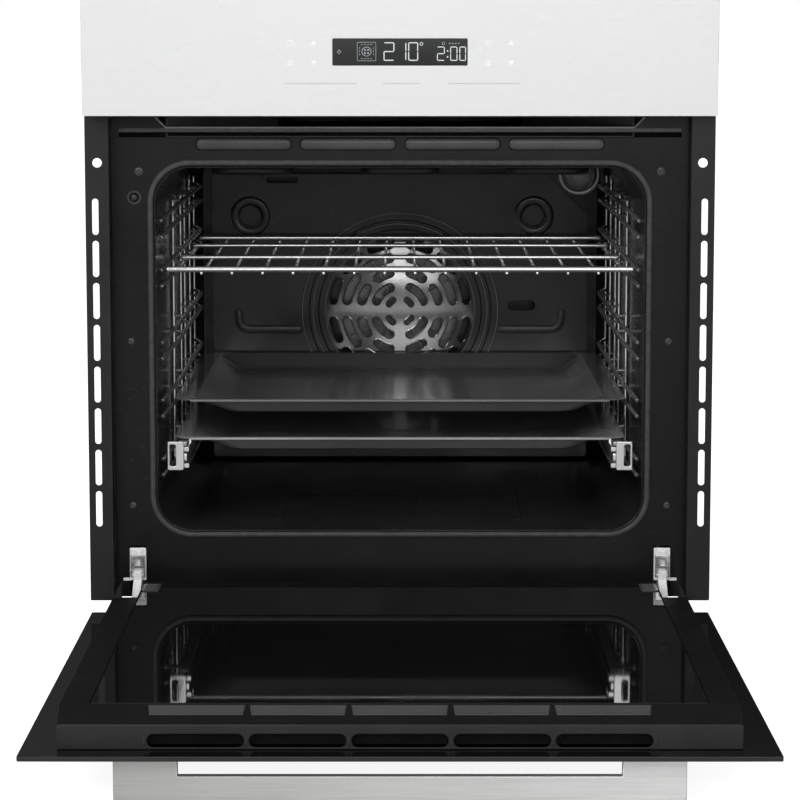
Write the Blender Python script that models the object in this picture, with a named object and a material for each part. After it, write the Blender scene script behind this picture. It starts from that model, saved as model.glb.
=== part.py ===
"""Built-in electric wall oven with its door open, as an assembly of separate solids.

Lengths are in millimetres until place() turns them into metres. In the design frame x runs to the
right, y runs from the mounting flange's front face into the cabinet, and z runs up from the base.
The model's origin is the centre of the base's underside.
"""

import math

import bmesh
import bpy
from mathutils import Matrix, Vector

MM = 0.001
GAP = 0.3
SHEET = 1.2
SKIM = 0.1
FLUSH = 0.01
CUT_REACH = 10.0
ORIGIN_Y = 275.0

# Body
BODY_HALF = 275.5
BODY_TOP = 572.0
BODY_BACK = 546.0
FRAME_Y = 17.0
CASING_FRONT = 19.0
FLANGE_HALF = 298.5
FLANGE_LIP = 24.0
FLANGE_TOP = 574.9
REAR_VENT_X = (-120, 0, 120)
REAR_VENT_Z = (90, 110)
REAR_VENT_LENGTH = 50.0
REAR_VENT_HEIGHT = 6.0

# Air outlet above the door
OUTLET_Z = 456.0
OUTLET_HALF = 223.0
OUTLET_CHAMFER = 10.0

# Slots in the mounting flange
SCREW_X = 286.8
SCREW_Z = 422.4
SCREW_RADIUS = 4.5
SLOT_X = 289.1
SLOT_WIDTH = 6.0
SLOT_LENGTH = 34.5
SLOT_FIRST_Z = 371.2
SLOT_PITCH = 40.2
SLOT_COUNT = 8

# Cavity
CAVITY_HALF = 233.6
CAVITY_LOW = 66.3
CAVITY_HIGH = 416.7
CAVITY_RADIUS = 33.0
CAVITY_BACK = 440.0
CAVITY_LIP_Y = 14.6
WOOL = 24.0
WOOL_FRONT = 45.0
HEATER_SPACE = 13.0
GASKET_PROFILE = ((2.0, 0.0), (2.6, 1.4), (3.8, 2.6), (5.6, 2.6), (7.2, 1.4), (7.8, 0.0))

# Rear air panel: a shallow box over the fan, with one corner cut off to clear the lamp
AIR_PANEL_Y = 411.0
AIR_PANEL_HALF = 209.5
AIR_PANEL_TOP = 388.0
AIR_PANEL_RISE = 3.0
AIR_PANEL_CORNER = 46.0
GRILLE_RADII = (28.0, 44.0, 60.0, 75.0)
GRILLE_SLOT = 9.5
GRILLE_BAR = 7.0
PROBE_SLOT = (-148, -114, 378, 384)
AIR_SLOT = (121, 151, 235, 246)

# Hot-air fan and its motor
FAN_Z = 235.0
FAN_RADIUS = 68.0
FAN_BLADES = 12
FAN_BLADE_ROOT = 18.0
FAN_BLADE_DEPTH = 15.0
FAN_BLADE_HALF = 0.6
FAN_DISC = 1.0
FAN_HUB = 9.0
FAN_HUB_DEPTH = 17.0
SHAFT_RADIUS = 4.0
SHAFT_IN_MOTOR = 20.0
MOTOR_Y = CAVITY_BACK + SHEET + GAP + WOOL + GAP
MOTOR_RADIUS = 34.0
MOTOR_LENGTH = 46.0
MOTOR_CAP = 52.0
MOTOR_BRACKET = (58.0, 12.0, 2.0)

# Lamp
LAMP_X = 201.0
LAMP_Z = 386.0
LAMP_RADIUS = 20.0

# Heaters
TUBE_RADIUS = 3.2
RING_HEATER_RADIUS = 86.0
RING_HEATER_STEPS = 20
RING_HEATER_Y = AIR_PANEL_Y + 12
RING_TAIL_X = 9.0
TAIL_Y = CAVITY_BACK + WOOL + 8
GRILL_TAIL_X = 12.0
GRILL_Z = 409.0
GRILL_HALF = 185.0
GRILL_FRONT = 110.0
GRILL_BACK = 390.0
GRILL_PITCH = 75.0
GRILL_RETURN = 60.0
BOTTOM_HEATER_Z = 58.0
BOTTOM_HEATER_HALF = 170.0
BOTTOM_HEATER_FRONT = 90.0
BOTTOM_HEATER_BACK = 370.0
BOTTOM_HEATER_GAP = 60.0

# Racks, shelf and trays
RACK_X = 231.2
RACK_WIRE = 1.9
RAIL_X = 220.0
RAIL_WIRE = 2.2
RAIL_FRONT = 37.0
RAIL_BEND = 84.0
RAIL_BACK = 424.0
RAIL_LEVELS = (127.0, 184.9, 241.3, 312.2, 359.9)
RAIL_PAIR = 15.8
RAIL_DROP = 11.5
RAIL_SINK = 0.4
RAIL_BACK_BEND = 30.0
RACK_POSTS = (169.0, 254.0, 300.0, 365.0)
RACK_FOOT = 22.0
RACK_STUB = 1.4
SHELF_Z = 317.7
SHELF_FRONT = 37.0
SHELF_BACK = 400.0
SHELF_HALF = 224.0
SHELF_FRONT_HALF = 226.5
SHELF_WIRE = 3.0
SHELF_CROSS = 2.4
SHELF_ROD = 1.8
SHELF_RODS = 14
SHELF_ROD_PITCH = 29.5
SHELF_CROSS_Y = (171.0, 309.0)
SHELF_BITE = 0.7
TRAY_HALF = 221.5
TRAY_WALL = 199.0
TRAY_FLOOR = 178.0
TRAY_FRONT = 50.0
TRAY_BACK = 404.0
TRAY_DEPTH = 16.0
TRAY_LEDGE = 6.0
TRAY_CORNER = 24.0
TRAY_RIM_CORNER = 14.0
TRAY_FLOOR_CORNER = 26.0
UPPER_TRAY_Z = 188.6
LOWER_TRAY_Z = 151.0
RUNNER_LOW = 122.0
RUNNER_HIGH = 146.0
RUNNER_FRONT = 52.0
RUNNER_BACK = 398.0
RUNNER_OUT = 217.4
RUNNER_IN = 209.0
SLIDE_IN = 205.0
SLIDE_FRONT = 32.0
SLIDE_GROOVE = 60.0
SLIDE_EDGE = 8.0
BRACKET_FRONT = 29.0
BRACKET_BACK = 33.0
BRACKET_OUT = 226.0
REST_STARTS = (60.0, 330.0)
REST_LENGTH = 20.0
REST_WIDTH = 3.0

# Control panel
PANEL_HALF = 297.5
PANEL_LOW = 467.2
PANEL_HIGH = 576.9
PANEL_FACE_Y = -22.0
GLASS = 4.0
DISPLAY_HALF = 63.0
DISPLAY_LOW = 514.5
DISPLAY_HIGH = 539.5
CARRIER_EDGE = 5.0
CARRIER_SIDE = 6.0
CARRIER_WALL = 2.0
CARRIER_NECK_HALF = 270.0
WINDOW_MARGIN = 1.0
MODULE_HALF = 75.0
MODULE_MARGIN = 8.0
TOUCH_BOARD_HALF = 150.0
TOUCH_BOARD_MARGIN = 20.0
TOUCH_BOARD = 1.6

# Cooling fan on top of the cavity
COOLER_Y = 310.0
COOLER_RADIUS = 78.0
COOLER_LOW = 470.0
COOLER_HIGH = 506.0
COOLER_EYE = 20.0
COOLER_WHEEL_LOW = 472.0
COOLER_WHEEL_RADIUS = 66.0
COOLER_HUB = 8.0
COOLER_HUB_HEIGHT = 24.0
COOLER_BLADES = (46.0, 64.0)
COOLER_BLADE_HEIGHT = 26.0
COOLER_SHAFT = 3.0
COOLER_MOTOR = 28.0
COOLER_MOTOR_HEIGHT = 34.0
DUCT_HALF = 120.0
DUCT_THROAT = 75.0
DUCT_BACK = 399.0
DUCT_WALL = 1.0
DUCT_BELOW = 10.0
DUCT_ABOVE = 9.7

# Door, in its own frame: up from the lower edge, and deep from the outer face
DOOR_HALF = 297.5
DOOR_HEIGHT = 480.0
DOOR_BOTTOM_Z = -18.1
DOOR_FRAME_HALF = 268.4
DOOR_DEPTH = 35.8
DOOR_FRAME_LOW = 8.0
DOOR_FRAME_HIGH = 461.0
DOOR_RAIL = 20.7
DOOR_CHAMFER = 13.0
DOOR_SILL = 32.0
PIVOT_Y = -12.0
PIVOT_Z = -5.5
PROFILE_IN = 244.6
MIDDLE_GLASS = (18.0, 21.0)
INNER_GLASS_DEPTH = DOOR_DEPTH - 0.2
HINGE_X = 254.0
HINGE_HALF = 7.5
HINGE_CLEAR = 74.0
HINGE_PLATE = 1.7
CHANNEL_LOW = 6.5
CHANNEL_HIGH = 210.0
CHANNEL_FLOOR = 22.0
CHANNEL_NEAR = 5.0
CHANNEL_FAR = 20.0
DOOR_VENTS = 5
DOOR_VENT_PITCH = 80.0
DOOR_VENT_LENGTH = 76.0
DOOR_VENT_HEIGHT = 10.9
DOOR_VENT_DEPTH = 11.2

# Handle, in the door's frame
HANDLE_HALF = 225.0
HANDLE_LEG = 50.6
HANDLE_GAP = 17.5
HANDLE_REACH = 39.5
HANDLE_THICK = 7.0
HANDLE_UP = 453.0

# Hinge arm, from the pivot to the slot in the front frame
ARM_HALF = 4.0
ARM_EYE = 5.4
ARM_PLATE_HALF = 8.0
ARM_PLATE_Y = (15.2, 16.6)
ARM_PLATE_LOW = 16.5
ARM_PLATE_HIGH = 48.5
ARM_TAB_END = 14.5
ARM_TAB_HEIGHT = 3.0
PIN_RADIUS = 3.0
PIN_OVERHANG = 0.4
LOCK_Y = 12.5
LOCK_Z = 22.5
LOCK_PIN = 1.2
LOCK_PIN_HALF = 7.0
LOCK_CHEEK = (5.5, 6.9)
LOCK_BRIDGE = (29.5, 42.4)
LOCK_BRIDGE_Y = (9.61, 11.1)
LOCK_WINDOW = (32.5, 38.5)
ARM_OUTLINE = (
    (-15, -9.5),
    (-9, -10),
    (17, 7.5),
    (29, 9.5),
    (29, 40.5),
    (21, 40.5),
    (21, 46.5),
    (14, 46.5),
    (14, 28.5),
    (9.5, 25.5),
    (9.5, 18.5),
    (-10, 3),
    (-17, -3),
)
LOCK_OUTLINE = (
    (10.3, 20.7),
    (12.5, 20.3),
    (14.7, 21.1),
    (14.7, 26.5),
    (12.5, 42.5),
    (9.6, 42.5),
    (9.6, 26.5),
)
SLOT_HALF = 8.0
SLOT_LOW = 5.5
SLOT_HIGH = 50.0

# Small fittings
CABLE_X = -205.0
CABLE_Z = 462.0
CABLE_HOLE = 9.5
GLAND_RADIUS = 8.7
GLAND_FLANGE = 13.0
GLAND_BORE = 5.0
GLAND_DEPTH = 12.0
TERMINAL_X = -205.0
TERMINAL_HALF = 28.0
TERMINAL_DEPTH = 26.0
TERMINAL_STEP = 10.0
TERMINAL_Z = (490.0, 512.0, 522.0)
TERMINAL_HOLE = (32.0, 486.0, 528.0)
BOARD_Z = 443.0
BOARD = (140.0, 240.0, 90.0, 220.0)
BOARD_THICK = 2.0
TRANSFORMER = (150.0, 190.0, 105.0, 145.0, 32.0)
CAPACITORS = (200.0, 230.0, 120.0, 180.0, 18.0)
PROBE_X = -150.0
PROBE_Z = 392.0
PROBE_RADIUS = 3.0
PROBE_TIP = 300.0
SWITCH_X = -253.7
SWITCH_Z = 388.4
SWITCH_TIP = 14.2
SWITCH_LENGTH = 16.0
SWITCH_RADIUS = 3.6
SWITCH_TIP_RADIUS = 2.8
SWITCH_TRAVEL = 4.0
SWITCH_BACK = 42.0

HALF_TURN = math.pi
QUARTER = math.pi / 2
SIDES = {"left": -1, "right": 1}

MATERIALS = {
    "enamel": ((0.012, 0.012, 0.013), 0.22, 0.0),
    "painted": ((0.016, 0.016, 0.017), 0.42, 0.0),
    "galvanised": ((0.55, 0.56, 0.58), 0.45, 1.0),
    "chrome": ((0.78, 0.78, 0.78), 0.12, 1.0),
    "steel": ((0.62, 0.62, 0.61), 0.28, 1.0),
    "heater": ((0.05, 0.045, 0.04), 0.5, 0.6),
    "wool": ((0.62, 0.55, 0.38), 0.95, 0.0),
    "gasket": ((0.03, 0.03, 0.032), 0.8, 0.0),
    "panel_glass": ((0.8, 0.81, 0.81), 0.12, 0.0),
    "door_glass": ((0.01, 0.01, 0.011), 0.05, 0.0),
    "display": ((0.008, 0.009, 0.012), 0.08, 0.0),
    "board": ((0.02, 0.13, 0.05), 0.5, 0.0),
    "plastic": ((0.04, 0.04, 0.042), 0.5, 0.0),
    "ceramic": ((0.82, 0.8, 0.76), 0.4, 0.0),
    "lamp_glass": ((0.85, 0.86, 0.84), 0.1, 0.0),
    "handle": ((0.66, 0.65, 0.64), 0.3, 1.0),
}


def clear_scene():
    for item in list(bpy.data.objects):
        bpy.data.objects.remove(item)


def make_material(name):
    color, roughness, metallic = MATERIALS[name]
    made = bpy.data.materials.new(name)
    made.use_nodes = True
    shader = made.node_tree.nodes["Principled BSDF"]
    shader.inputs["Base Color"].default_value = (*color, 1)
    shader.inputs["Roughness"].default_value = roughness
    shader.inputs["Metallic"].default_value = metallic
    return made


# Outlines: closed lists of points in a plane


def rounded(low_a, high_a, low_b, high_b, radius, steps=5):
    """A rectangle with round corners, anticlockwise."""
    centres = (
        (high_a - radius, high_b - radius, 0.0),
        (low_a + radius, high_b - radius, QUARTER),
        (low_a + radius, low_b + radius, 2 * QUARTER),
        (high_a - radius, low_b + radius, 3 * QUARTER),
    )
    points = []
    for a, b, start in centres:
        for step in range(steps + 1):
            turn = start + QUARTER * step / steps
            points.append((a + radius * math.cos(turn), b + radius * math.sin(turn)))
    return points


def circle(a, b, radius, steps=16):
    turns = [2 * HALF_TURN * n / steps for n in range(steps)]
    return [(a + radius * math.cos(turn), b + radius * math.sin(turn)) for turn in turns]


def mirrored(outline, side):
    return [(a * side, b) for a, b in outline]


# Shapes: lists of points and faces, in millimetres


def loft(rings, closed=False):
    """Joins rings of the same number of points, with a cap on the first and on the last unless closed."""
    count = len(rings[0])
    points = [point for ring in rings for point in ring]
    faces = []
    last = len(rings) if closed else len(rings) - 1
    for n in range(last):
        here = n * count
        there = (n + 1) % len(rings) * count
        for k in range(count):
            after = (k + 1) % count
            faces.append((here + k, here + after, there + after, there + k))
    if not closed:
        faces.append(tuple(range(count)))
        faces.append(tuple(range((len(rings) - 1) * count, len(rings) * count)))
    return points, faces


def lifted(outline, axis, level):
    """A flat outline set at a level along an axis."""
    if axis == "x":
        return [(level, a, b) for a, b in outline]
    if axis == "y":
        return [(a, level, b) for a, b in outline]
    return [(a, b, level) for a, b in outline]


def prism(outline, axis, low, high):
    return loft([lifted(outline, axis, low), lifted(outline, axis, high)])


def box(x0, x1, y0, y1, z0, z1):
    return prism([(x0, y0), (x1, y0), (x1, y1), (x0, y1)], "z", z0, z1)


def tub(rings, axis):
    """A thin-walled shape: its rings pair an outline with a level, from the inner floor to the outer one."""
    return loft([lifted(outline, axis, level) for outline, level in rings])


def turned(profile, axis, a, b, steps=20, closed=False):
    """A round shape about a line along an axis: the profile is pairs of a radius and a level."""
    return loft([lifted(circle(a, b, radius, steps), axis, level) for radius, level in profile], closed)


def tube(path, radius, sides=6, closed=False):
    """A round wire along a path of points."""
    points = [Vector(point) for point in path]
    count = len(points)
    rings = []
    normal = None
    for n, here in enumerate(points):
        before = points[n - 1] if n or closed else here
        after = points[(n + 1) % count] if n < count - 1 or closed else here
        along = ((here - before).normalized() + (after - here).normalized()).normalized()
        if normal is None:
            normal = along.orthogonal().normalized()
        normal = (normal - along * normal.dot(along)).normalized()
        across = along.cross(normal)
        bend = (here - before).normalized().dot(along) if n or closed else 1.0
        stretch = radius / max(bend, 0.7)
        ring = []
        for k in range(sides):
            turn = 2 * HALF_TURN * k / sides
            ring.append(tuple(here + (normal * math.cos(turn) + across * math.sin(turn)) * stretch))
        rings.append(ring)
    return loft(rings, closed)


def mirror_shape(shape, side):
    points, faces = shape
    return [(x * side, y, z) for x, y, z in points], faces


def blades(blade, count, axis, centre):
    """Copies of a blade turned in equal steps about an axis through a centre."""
    made = []
    points, faces = blade
    for n in range(count):
        turn = Matrix.Rotation(2 * HALF_TURN * n / count, 4, axis)
        made.append(([tuple(turn @ Vector(point) + Vector(centre)) for point in points], faces))
    return made


# Objects


def place(name, shape, pivot):
    """A mesh object in metres, with its origin at the pivot and its faces pointing out."""
    points, faces = shape
    mesh = bpy.data.meshes.new(name)
    origin = Vector(pivot)
    mesh.from_pydata([(Vector(point) - origin) * MM for point in points], [], faces)
    work = bmesh.new()
    work.from_mesh(mesh)
    bmesh.ops.recalc_face_normals(work, faces=work.faces)
    if work.calc_volume(signed=True) < 0:
        bmesh.ops.reverse_faces(work, faces=work.faces)
    work.to_mesh(mesh)
    work.free()
    made = bpy.data.objects.new(name, mesh)
    made.location = (origin - Vector((0, ORIGIN_Y, 0))) * MM
    bpy.context.scene.collection.objects.link(made)
    return made


def operands(name, shapes, pivot):
    """A collection of helper solids that a Boolean joins to a part or cuts from it."""
    group = bpy.data.collections.new(name)
    for n, shape in enumerate(shapes):
        helper = place(f"{name}_{n}", shape, pivot)
        helper.hide_render = True
        helper.display_type = "WIRE"
        bpy.context.scene.collection.objects.unlink(helper)
        group.objects.link(helper)
    bpy.context.scene.collection.children.link(group)
    return group


def combine(part, kind, shapes, pivot):
    step = part.modifiers.new(kind.lower(), "BOOLEAN")
    step.operation = kind
    step.solver = "EXACT"
    step.operand_type = "COLLECTION"
    step.collection = operands(f"{part.name}_{kind.lower()}", shapes, pivot)


def add_part(name, material, shapes, cuts=(), pivot=(0, ORIGIN_Y, 0)):
    """A named part: the union of its shapes, less its cuts."""
    part = place(name, shapes[0], pivot)
    part.data.materials.append(make_material(material))
    part.data.materials[0].name = name
    if len(shapes) > 1:
        combine(part, "UNION", shapes[1:], pivot)
    if cuts:
        combine(part, "DIFFERENCE", cuts, pivot)
    part.data.set_sharp_from_angle(angle=math.radians(35))
    return part


# Casing


def add_casing():
    inner = BODY_HALF - SHEET - GAP
    front = CASING_FRONT
    back = BODY_BACK
    add_part("base_plate", "galvanised", [box(-inner, inner, front, back, 0, SHEET)])
    add_part("top_cover", "galvanised", [box(-inner, inner, front, back, BODY_TOP - SHEET, BODY_TOP)])
    for name, side in SIDES.items():
        panel = box(inner + GAP, BODY_HALF - SKIM, front, back, 0, BODY_TOP)
        add_part(f"side_panel_{name}", "galvanised", [mirror_shape(panel, side)])
    rear = box(-inner, inner, back - SHEET, back, SHEET + GAP, BODY_TOP - SHEET - GAP)
    half, low, high = TERMINAL_HOLE
    cuts = [
        prism(circle(CABLE_X, CABLE_Z, CABLE_HOLE), "y", back - CUT_REACH, back + CUT_REACH),
        box(TERMINAL_X - half, TERMINAL_X + half, back - CUT_REACH, back + CUT_REACH, low, high),
    ]
    half_length = REAR_VENT_LENGTH / 2
    half_height = REAR_VENT_HEIGHT / 2
    for x in REAR_VENT_X:
        for z in REAR_VENT_Z:
            vent = rounded(
                x - half_length,
                x + half_length,
                z - half_height,
                z + half_height,
                half_height - SKIM,
                2,
            )
            cuts.append(prism(vent, "y", back - CUT_REACH, back + CUT_REACH))
    add_part("rear_panel", "galvanised", [rear], cuts)


def add_front_frame():
    high = BODY_TOP
    edge = OUTLET_HALF + OUTLET_CHAMFER
    outline = [
        (-BODY_HALF, 0),
        (BODY_HALF, 0),
        (BODY_HALF, high),
        (edge, high),
        (edge, OUTLET_Z + OUTLET_CHAMFER),
        (OUTLET_HALF, OUTLET_Z),
        (-OUTLET_HALF, OUTLET_Z),
        (-edge, OUTLET_Z + OUTLET_CHAMFER),
        (-edge, high),
        (-BODY_HALF, high),
    ]
    grow = SHEET + GAP
    opening = rounded(
        -CAVITY_HALF - grow,
        CAVITY_HALF + grow,
        CAVITY_LOW - grow,
        CAVITY_HIGH + grow,
        CAVITY_RADIUS + grow,
    )
    low = FRAME_Y - CUT_REACH
    deep = FRAME_Y + CUT_REACH
    cuts = [prism(opening, "y", low, deep)]
    for side in SIDES.values():
        middle = side * HINGE_X
        cuts.append(box(middle - SLOT_HALF, middle + SLOT_HALF, low, deep, SLOT_LOW, SLOT_HIGH))
    cuts.append(prism(circle(SWITCH_X, SWITCH_Z, SWITCH_RADIUS + 0.7, 12), "y", low, deep))
    plate = prism(outline, "y", FRAME_Y, FRAME_Y + SHEET)
    add_part("front_frame", "enamel", [plate], cuts)


def add_flanges():
    for name, side in SIDES.items():
        inner = BODY_HALF + GAP
        plate = box(inner, FLANGE_HALF, 0, SHEET, 0, FLANGE_TOP)
        lip = box(inner, inner + SHEET, SHEET / 2, FLANGE_LIP, 0, FLANGE_TOP)
        screw_hole = mirrored(circle(SCREW_X, SCREW_Z, SCREW_RADIUS, 12), side)
        cuts = [prism(screw_hole, "y", -CUT_REACH, CUT_REACH)]
        for n in range(SLOT_COUNT):
            middle = SLOT_FIRST_Z - n * SLOT_PITCH
            half = SLOT_WIDTH / 2
            slot = rounded(
                SLOT_X - half,
                SLOT_X + half,
                middle - SLOT_LENGTH / 2,
                middle + SLOT_LENGTH / 2,
                half - SKIM,
                2,
            )
            cuts.append(prism(mirrored(slot, side), "y", -CUT_REACH, CUT_REACH))
        shapes = [mirror_shape(plate, side), mirror_shape(lip, side)]
        add_part(f"mounting_flange_{name}", "painted", shapes, cuts)


# Cavity


def cavity_outline(grow=0.0, drop=0.0):
    return rounded(
        -CAVITY_HALF - grow,
        CAVITY_HALF + grow,
        CAVITY_LOW - grow - drop,
        CAVITY_HIGH + grow,
        CAVITY_RADIUS + grow,
    )


def back_holes(places, low, high):
    """Round holes in the back, each at an x and a z with a radius."""
    return [prism(circle(x, z, radius), "y", low, high) for x, z, radius in places]


def add_cavity():
    """The enamelled liner, open in front, and the mineral wool wrapped round it."""
    back = CAVITY_BACK
    liner = tub(
        [
            (cavity_outline(), back),
            (cavity_outline(), CAVITY_LIP_Y),
            (cavity_outline(SHEET), CAVITY_LIP_Y),
            (cavity_outline(SHEET), back + SHEET),
        ],
        "y",
    )
    liner_holes = [(0, FAN_Z, 8), (LAMP_X, LAMP_Z, LAMP_RADIUS - 2), (PROBE_X, PROBE_Z, 3.6)]
    wool_holes = [(0, FAN_Z, 12), (LAMP_X, LAMP_Z, LAMP_RADIUS + 2), (PROBE_X, PROBE_Z, 5)]
    for side in SIDES.values():
        ring = (side * RING_TAIL_X, FAN_Z + RING_HEATER_RADIUS)
        grill = (side * GRILL_TAIL_X, GRILL_Z)
        liner_holes += [(*ring, 5), (*grill, 4.5)]
        wool_holes += [(*ring, 6), (*grill, 6), (side * GRILL_TAIL_X, BOTTOM_HEATER_Z, 6)]
    cuts = back_holes(liner_holes, back - CUT_REACH, back + CUT_REACH)
    add_part("cavity_liner", "enamel", [liner], cuts)

    near = SHEET + GAP
    deep = back + near + WOOL
    wool = tub(
        [
            (cavity_outline(near, HEATER_SPACE), back + near),
            (cavity_outline(near, HEATER_SPACE), WOOL_FRONT),
            (cavity_outline(near + WOOL, HEATER_SPACE), WOOL_FRONT),
            (cavity_outline(near + WOOL, HEATER_SPACE), deep),
        ],
        "y",
    )
    cuts = back_holes(wool_holes, back - CUT_REACH, deep + CUT_REACH)
    add_part("insulation_blanket", "wool", [wool], cuts)


def add_gasket():
    back = FRAME_Y - GAP
    rings = [lifted(gasket_ring(offset), "y", back - proud) for offset, proud in GASKET_PROFILE]
    add_part("door_gasket", "gasket", [loft(rings, closed=True)])


def gasket_ring(offset):
    return rounded(
        -CAVITY_HALF - offset,
        CAVITY_HALF + offset,
        CAVITY_LOW - offset,
        CAVITY_HIGH + offset,
        CAVITY_RADIUS + offset,
        4,
    )


def arc_slot(inner, outer, start, end, steps=4):
    """A curved slot about the fan's axis, as an outline in the plane of the air panel."""
    turns = [start + (end - start) * n / steps for n in range(steps + 1)]
    edge = [(outer * math.cos(turn), FAN_Z + outer * math.sin(turn)) for turn in turns]
    edge += [(inner * math.cos(turn), FAN_Z + inner * math.sin(turn)) for turn in reversed(turns)]
    return edge


def air_panel_outline(inset):
    right = AIR_PANEL_HALF - inset
    low = CAVITY_LOW + AIR_PANEL_RISE + inset
    high = AIR_PANEL_TOP - inset
    cut = AIR_PANEL_CORNER - inset * (2 - math.sqrt(2))
    return [(-right, low), (right, low), (right, high - cut), (right - cut, high), (-right, high)]


def add_air_panel():
    deep = CAVITY_BACK - GAP
    front = AIR_PANEL_Y
    shell = tub(
        [
            (air_panel_outline(SHEET), front + SHEET),
            (air_panel_outline(SHEET), deep),
            (air_panel_outline(0), deep),
            (air_panel_outline(0), front),
        ],
        "y",
    )
    low = front - CUT_REACH
    high = front + CUT_REACH
    slots = []
    for radius in GRILLE_RADII:
        half = GRILLE_SLOT / 2
        edge = math.asin(GRILLE_BAR / radius)
        for quarter in range(4):
            start = quarter * QUARTER + edge
            end = (quarter + 1) * QUARTER - edge
            slots.append(prism(arc_slot(radius - half, radius + half, start, end), "y", low, high))
    for left, right, bottom, top in (PROBE_SLOT, AIR_SLOT):
        slots.append(box(left, right, low, high, bottom, top))
    add_part("rear_air_panel", "enamel", [shell], slots)


def add_fan():
    """The hot-air wheel, the shaft it is fixed to, and the motor behind the wool."""
    pivot = (0, AIR_PANEL_Y, FAN_Z)
    disc_y = CAVITY_BACK - 4
    inside = disc_y + FAN_DISC / 2
    blade = box(
        FAN_BLADE_ROOT, FAN_RADIUS - 2, disc_y - FAN_BLADE_DEPTH, inside, -FAN_BLADE_HALF, FAN_BLADE_HALF
    )
    wheel = [
        turned([(FAN_RADIUS, disc_y), (FAN_RADIUS, disc_y + FAN_DISC)], "y", 0, FAN_Z, 24),
        turned([(FAN_HUB, disc_y - FAN_HUB_DEPTH), (FAN_HUB, inside)], "y", 0, FAN_Z, 12),
        *blades(blade, FAN_BLADES, "Y", (0, 0, FAN_Z)),
    ]
    bore_radius = SHAFT_RADIUS + GAP
    shaft_front = disc_y - 11.5
    bore = turned([(bore_radius, shaft_front - 0.5), (bore_radius, disc_y + 5)], "y", 0, FAN_Z, 12)
    add_part("convection_fan", "galvanised", wheel, [bore], pivot)
    shaft_back = MOTOR_Y + SHAFT_IN_MOTOR
    shaft = turned([(SHAFT_RADIUS, shaft_front), (SHAFT_RADIUS, shaft_back)], "y", 0, FAN_Z, 12)
    add_part("fan_shaft", "steel", [shaft], pivot=pivot)
    can = [
        (MOTOR_RADIUS, MOTOR_Y),
        (MOTOR_RADIUS, MOTOR_Y + MOTOR_LENGTH),
        (14, MOTOR_Y + MOTOR_CAP),
    ]
    half, tall, thick = MOTOR_BRACKET
    bracket = box(-half, half, MOTOR_Y, MOTOR_Y + thick, FAN_Z - tall, FAN_Z + tall)
    bore = turned([(bore_radius, MOTOR_Y - 5), (bore_radius, shaft_back + GAP)], "y", 0, FAN_Z, 12)
    add_part("fan_motor", "galvanised", [turned(can, "y", 0, FAN_Z, 20), bracket], [bore])


def add_heaters():
    """Three tubular elements: round the fan, under the ceiling, and below the floor."""
    start = math.asin(RING_TAIL_X / RING_HEATER_RADIUS)
    path = [(RING_TAIL_X, TAIL_Y, FAN_Z + RING_HEATER_RADIUS)]
    for n in range(RING_HEATER_STEPS + 1):
        turn = QUARTER - start - (2 * HALF_TURN - 2 * start) * n / RING_HEATER_STEPS
        x = RING_HEATER_RADIUS * math.cos(turn)
        z = RING_HEATER_RADIUS * math.sin(turn)
        path.append((x, RING_HEATER_Y, FAN_Z + z))
    path.append((-RING_TAIL_X, TAIL_Y, FAN_Z + RING_HEATER_RADIUS))
    add_part("ring_heater", "heater", [tube(path, TUBE_RADIUS)])

    near = GRILL_HALF - GRILL_PITCH
    middle = GRILL_HALF - 2 * GRILL_PITCH
    turn_back = GRILL_BACK - GRILL_RETURN
    add_tube_heater(
        "grill_heater",
        GRILL_Z,
        [
            (GRILL_TAIL_X, TAIL_Y),
            (GRILL_TAIL_X, GRILL_BACK),
            (GRILL_HALF, GRILL_BACK),
            (GRILL_HALF, GRILL_FRONT),
            (near, GRILL_FRONT),
            (near, turn_back),
            (middle, turn_back),
            (middle, GRILL_FRONT),
        ],
    )
    add_tube_heater(
        "bottom_heater",
        BOTTOM_HEATER_Z,
        [
            (GRILL_TAIL_X, TAIL_Y),
            (GRILL_TAIL_X, GRILL_BACK),
            (BOTTOM_HEATER_HALF, BOTTOM_HEATER_BACK),
            (BOTTOM_HEATER_HALF, BOTTOM_HEATER_FRONT),
            (BOTTOM_HEATER_GAP, BOTTOM_HEATER_FRONT),
        ],
    )


def add_tube_heater(name, level, right_half):
    """A flat tubular element, given by its right half from the back tail to the middle."""
    path = [(x, y, level) for x, y in right_half]
    path += [(-x, y, z) for x, y, z in reversed(path)]
    add_part(name, "heater", [tube(path, TUBE_RADIUS)])


def add_lamp():
    """A glass cap that sticks into the cavity, with the bulb in its ceramic socket behind it."""
    back = CAVITY_BACK
    neck = LAMP_RADIUS - 2.4
    cap = [
        (LAMP_RADIUS - 10, back - 10),
        (LAMP_RADIUS - 5, back - 5),
        (LAMP_RADIUS - 5, back + 3),
        (neck, back + 3),
        (neck, back - GAP),
        (LAMP_RADIUS, back - GAP),
        (LAMP_RADIUS, back - 6),
        (LAMP_RADIUS - 8, back - 12),
    ]
    add_part("lamp_lens", "lamp_glass", [turned(cap, "y", LAMP_X, LAMP_Z, 18)])
    socket = [(LAMP_RADIUS, back + 4), (LAMP_RADIUS, back + 34), (LAMP_RADIUS - 6, back + 44)]
    hollow = turned([(9, back), (9, back + 20)], "y", LAMP_X, LAMP_Z, 12)
    add_part("lamp_socket", "ceramic", [turned(socket, "y", LAMP_X, LAMP_Z, 18)], [hollow])
    bulb = [(8, back + 19), (8, back - 2), (4, back - 6)]
    add_part("lamp_bulb", "lamp_glass", [turned(bulb, "y", LAMP_X, LAMP_Z, 12)])


def add_probe():
    path = [(PROBE_X, CAVITY_BACK + WOOL, PROBE_Z), (PROBE_X, PROBE_TIP, PROBE_Z)]
    add_part("temperature_probe", "steel", [tube(path, PROBE_RADIUS, 8)])


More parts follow.
